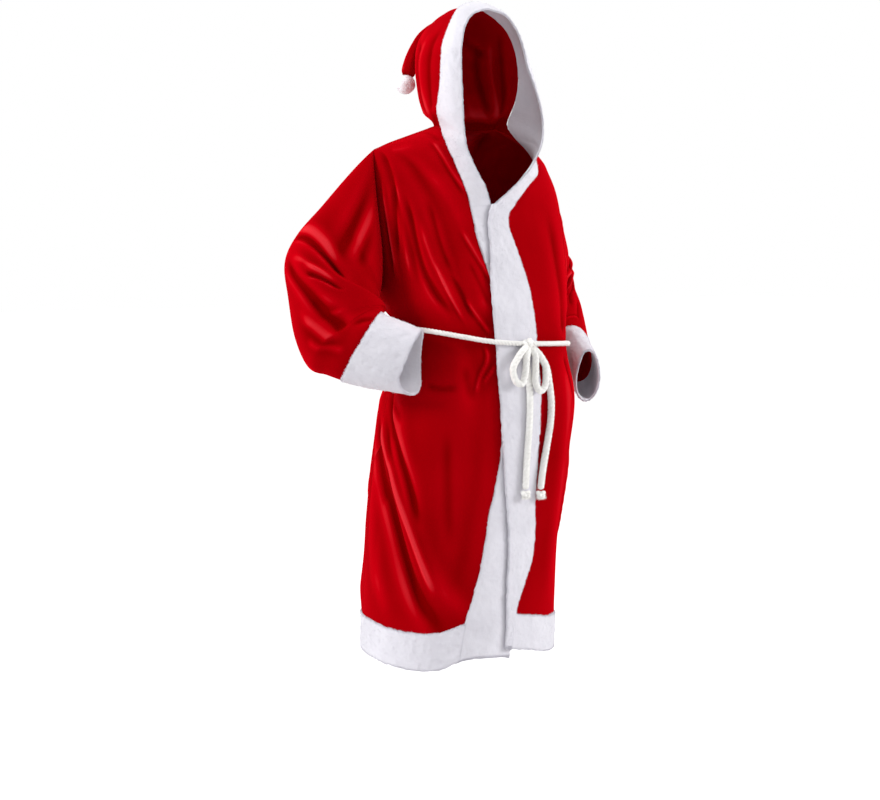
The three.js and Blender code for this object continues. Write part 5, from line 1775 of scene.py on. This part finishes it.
def trim_grid(along, across):
    """Grid of the trim: along goes from the V on the right over the crown to the V on the left,
    and across goes from the seam to the face edge. The strip bows outwards between its edges."""
    along, across = np.broadcast_arrays(along, across)
    t = np.where(along < 1, along, 2 - along)
    right, left = trim_outer(-1, t), trim_outer(1, t)
    edge = np.where((along < 1)[..., None], right, left)
    face_right = np.stack([column(FACE_EDGE, t, "r" + axis) for axis in "xyz"], -1)
    face_left = np.stack([column(FACE_EDGE, t, "l" + axis) for axis in "xyz"], -1)
    face = np.where((along < 1)[..., None], face_right, face_left)
    width = np.linalg.norm(face - edge, axis=-1)
    gap = TRIM_GAP * (1 + fade(t, 0.85, 0.97) + 0.6 * np.exp(-(((t - 0.38) / 0.06) ** 2)))
    share = mix(gap / width, 1.0, across)
    point = edge + (face - edge) * share[..., None]
    swell = mix(FLAT_SWELL, TRIM_SWELL, fade(t, 0, 0.14)) * width * np.sin(np.pi * share)
    away = trim_out(t, point)
    return point + away * swell[..., None], away


def hood_trim():
    """The white strip round the face."""
    along = 2 * steps(420)[:, None]
    points, away = trim_grid(along, gathered_steps(30)[None])
    normals = outward_normals(points, away)
    body = plush_wall(points, normals, TRIM_HAIRS, 50, free=(1, 1, 0, 0))
    return make_piece("plush_hood_trim", body)


dress(hood_trim(), "plush", "hood_trim")

# %% [markdown]
# ## Point of the hood and its pompom
#
# The crown of the hood ends in a soft point that falls over to the right at the back and
# carries a pompom. The point is a hollow cone of velvet along a short hanging line. The pompom
# is a slightly lumpy ball with short hairs in all directions.

# %% Hanging point and pompom
TAIL = table("s x y z wide deep", [
    [0, -4, 112, 243, 17, 3], [0.12, -8, 132, 235, 17, 8], [0.28, -14, 154, 222, 16, 11],
    [0.45, -24, 163, 205, 15, 12], [0.62, -42, 160, 182, 14, 12], [0.8, -57, 153, 156, 16, 12],
    [0.93, -64, 149, 134, 18, 11], [1, -67, 149, 126, 12, 9],
])
POMPOM = {"radius": 23, "x": -70, "y": 150, "z": 106.5}
POMPOM_SEED, POMPOM_HAIRS = 61, 500
POMPOM_CORE, HAIR_ROOT = 0.99, 0.97


def tail_rings(s, around, thinner):
    """Rings of the hanging point: ovals square to its line, thinner by a wall for the inside."""
    path = np.stack([column(TAIL, s, axis) for axis in "xyz"], -1)
    travel = unit(np.gradient(path, axis=0))
    across = unit(np.cross([0.0, 1.0, 0.0], travel))
    other = np.cross(travel, across)
    turn = 2 * np.pi * steps(around)[:-1]
    puckers = 1 + 0.05 * np.sin(5 * turn[None] + 3 * s[:, None]) * fade(s, 0.1, 0.9)[:, None]
    wide = (column(TAIL, s, "wide") - thinner)[:, None] * puckers
    deep = (column(TAIL, s, "deep") - thinner)[:, None] * puckers
    return (
        path[:, None]
        + across[:, None] * (wide * np.cos(turn))[..., None]
        + other[:, None] * (deep * np.sin(turn))[..., None]
    )


def hanging_point():
    """Velvet point of the hood."""
    s = steps(44)
    outer, inner = tail_rings(s, 60, 0.0), tail_rings(s, 60, 2.0)
    relief = relief_of(outer, unit(outer - outer.mean(1, keepdims=True)), around=True)
    body = wall(outer, inner, around=True)
    return make_piece("velvet_hood_point", [body], relief=relief), outer


def ball(middle, radius, rows, cols):
    """Core of the pompom: a lumpy ball of rings from pole to pole."""
    polar = np.pi * (np.arange(rows) + 0.5) / rows
    turn = 2 * np.pi * steps(cols)[:-1]
    direction = np.stack([
        np.sin(polar)[:, None] * np.cos(turn), np.sin(polar)[:, None] * np.sin(turn),
        np.cos(polar)[:, None] + 0 * turn,
    ], -1)
    points = direction * radius
    points = points * (1 + 0.05 * lattice_noise(points, 5.0, 3))[..., None]
    return split_quads(*tube(points + middle, radius * polar))


def pompom():
    """White pompom: a core and a crowd of hairs."""
    rng = np.random.default_rng(POMPOM_SEED)
    middle = np.array([POMPOM["x"], POMPOM["y"], POMPOM["z"]])
    count = POMPOM_HAIRS
    direction = unit(rng.normal(size=(count, 3)))
    core = POMPOM_CORE * POMPOM["radius"]
    crowd = hairs(
        middle + direction * core * HAIR_ROOT,
        unit(direction + 0.22 * rng.normal(size=(count, 3))),
        rng.uniform(1.2, 2.4, count), rng.uniform(0.8, 1.4, count), np.zeros((count, 2)), rng,
    )
    return make_piece("plush_pompom", [ball(middle, core, 26, 40), crowd])


point, grid = hanging_point()
CUTS["hood_point"] = cut_of(grid)
dress(point, "velvet", "hood_tail")
dress(pompom(), "plush", "pompom", finish="pompom")

# %% [markdown]
# ## What each cloth was cut to
#
# A garment is cut flat and takes its form only when it is sewn and worn. The width, length and area
# of each velvet piece's cut are printed. The plush goes with the panel it is sewn to.

# %% Sheets
HELD = {
    "front_right": (["rope_belt"], ["plush_band_right", "plush_hem_right"]),
    "front_left": (["velvet_front_right"], ["plush_band_left", "plush_hem_left"]),
    "back": (["rope_belt"], ["plush_hem_back"]),
    "sleeve_right": (["velvet_front_right", "velvet_back"], ["plush_cuff_right"]),
    "sleeve_left": (["velvet_front_left", "velvet_back"], ["plush_cuff_left"]),
    "hood_right": (["velvet_back"], ["plush_hood_trim"]),
    "hood_left": (["velvet_back"], []),
    "hood_point": (["velvet_hood_right"], ["plush_pompom"]),
}
for name, (rests_on, trims) in HELD.items():
    (width, length), area = CUTS[name]
    width, length = math.ceil(width * 100) / 100, math.ceil(length * 100) / 100
    print(f"{name}: cut {width:.2f} x {length:.2f} m, {area:.3f} square metres")

# %% [markdown]
# ## Floor and light
#
# The robe hangs in the air above a pale floor, at the height it has when worn. The main lamp
# stands far to the left and brings out the creases, a larger one fills in from the right, and
# a wide one hangs above. The room is white to the camera but lights the cloth only half as
# much, and the floor glows only for the camera, so the backdrop stays white without washing
# out the red.

# %% Floor and lamps
FLOOR_Z = -1.565
FLOOR_SIZE = 60.0
FLOOR_GLOW = 0.62
ROOM_LIGHT = 0.54


def floor_piece():
    """A wide flat square."""
    half = FLOOR_SIZE / 2
    corners = [(-half, -half), (half, -half), (half, half), (-half, half)]
    mesh = bpy.data.meshes.new("floor")
    mesh.from_pydata([(x, y, FLOOR_Z) for x, y in corners], [], [(0, 1, 2, 3)])
    floor = bpy.data.objects.new("floor", mesh)
    bpy.context.collection.objects.link(floor)
    material = bpy.data.materials.new("floor_paint")
    material.use_nodes = True
    tree = material.node_tree
    shader = tree.nodes["Principled BSDF"]
    shader.inputs["Base Color"].default_value = (0.8, 0.8, 0.8, 1)
    shader.inputs["Roughness"].default_value = 0.9
    shader.inputs["Emission Color"].default_value = (1, 1, 1, 1)
    seen = tree.nodes.new("ShaderNodeLightPath").outputs["Is Camera Ray"]
    tree.links.new(value_between(tree, seen, 0.0, FLOOR_GLOW), shader.inputs["Emission Strength"])
    mesh.materials.append(material)


def lamp(name, place, target, size, power):
    """A square soft lamp aimed at a point."""
    data = bpy.data.lights.new(name, "AREA")
    data.size = size
    data.energy = power
    light = bpy.data.objects.new(name, data)
    light.location = place
    light.rotation_mode = "QUATERNION"
    light.rotation_quaternion = (Vector(target) - Vector(place)).to_track_quat("-Z", "Y")
    bpy.context.collection.objects.link(light)


floor_piece()
MIDDLE = (0, 0, -0.5)
lamp("key", (-4.3, 0.9, 1.5), MIDDLE, 1.2, 160)
lamp("fill", (3.2, -3.0, 0.8), MIDDLE, 1.8, 120)
lamp("top", (0, -0.4, 3.6), MIDDLE, 2.6, 50)
world = bpy.data.worlds.new("studio")
world.use_nodes = True
tree = world.node_tree
backdrop = tree.nodes["Background"]
backdrop.inputs["Color"].default_value = (1, 1, 1, 1)
seen = tree.nodes.new("ShaderNodeLightPath").outputs["Is Camera Ray"]
tree.links.new(value_between(tree, seen, ROOM_LIGHT, 1.0), backdrop.inputs["Strength"])
bpy.context.scene.world = world
print("lamps:", len(bpy.data.lights), "and a room light of", ROOM_LIGHT)
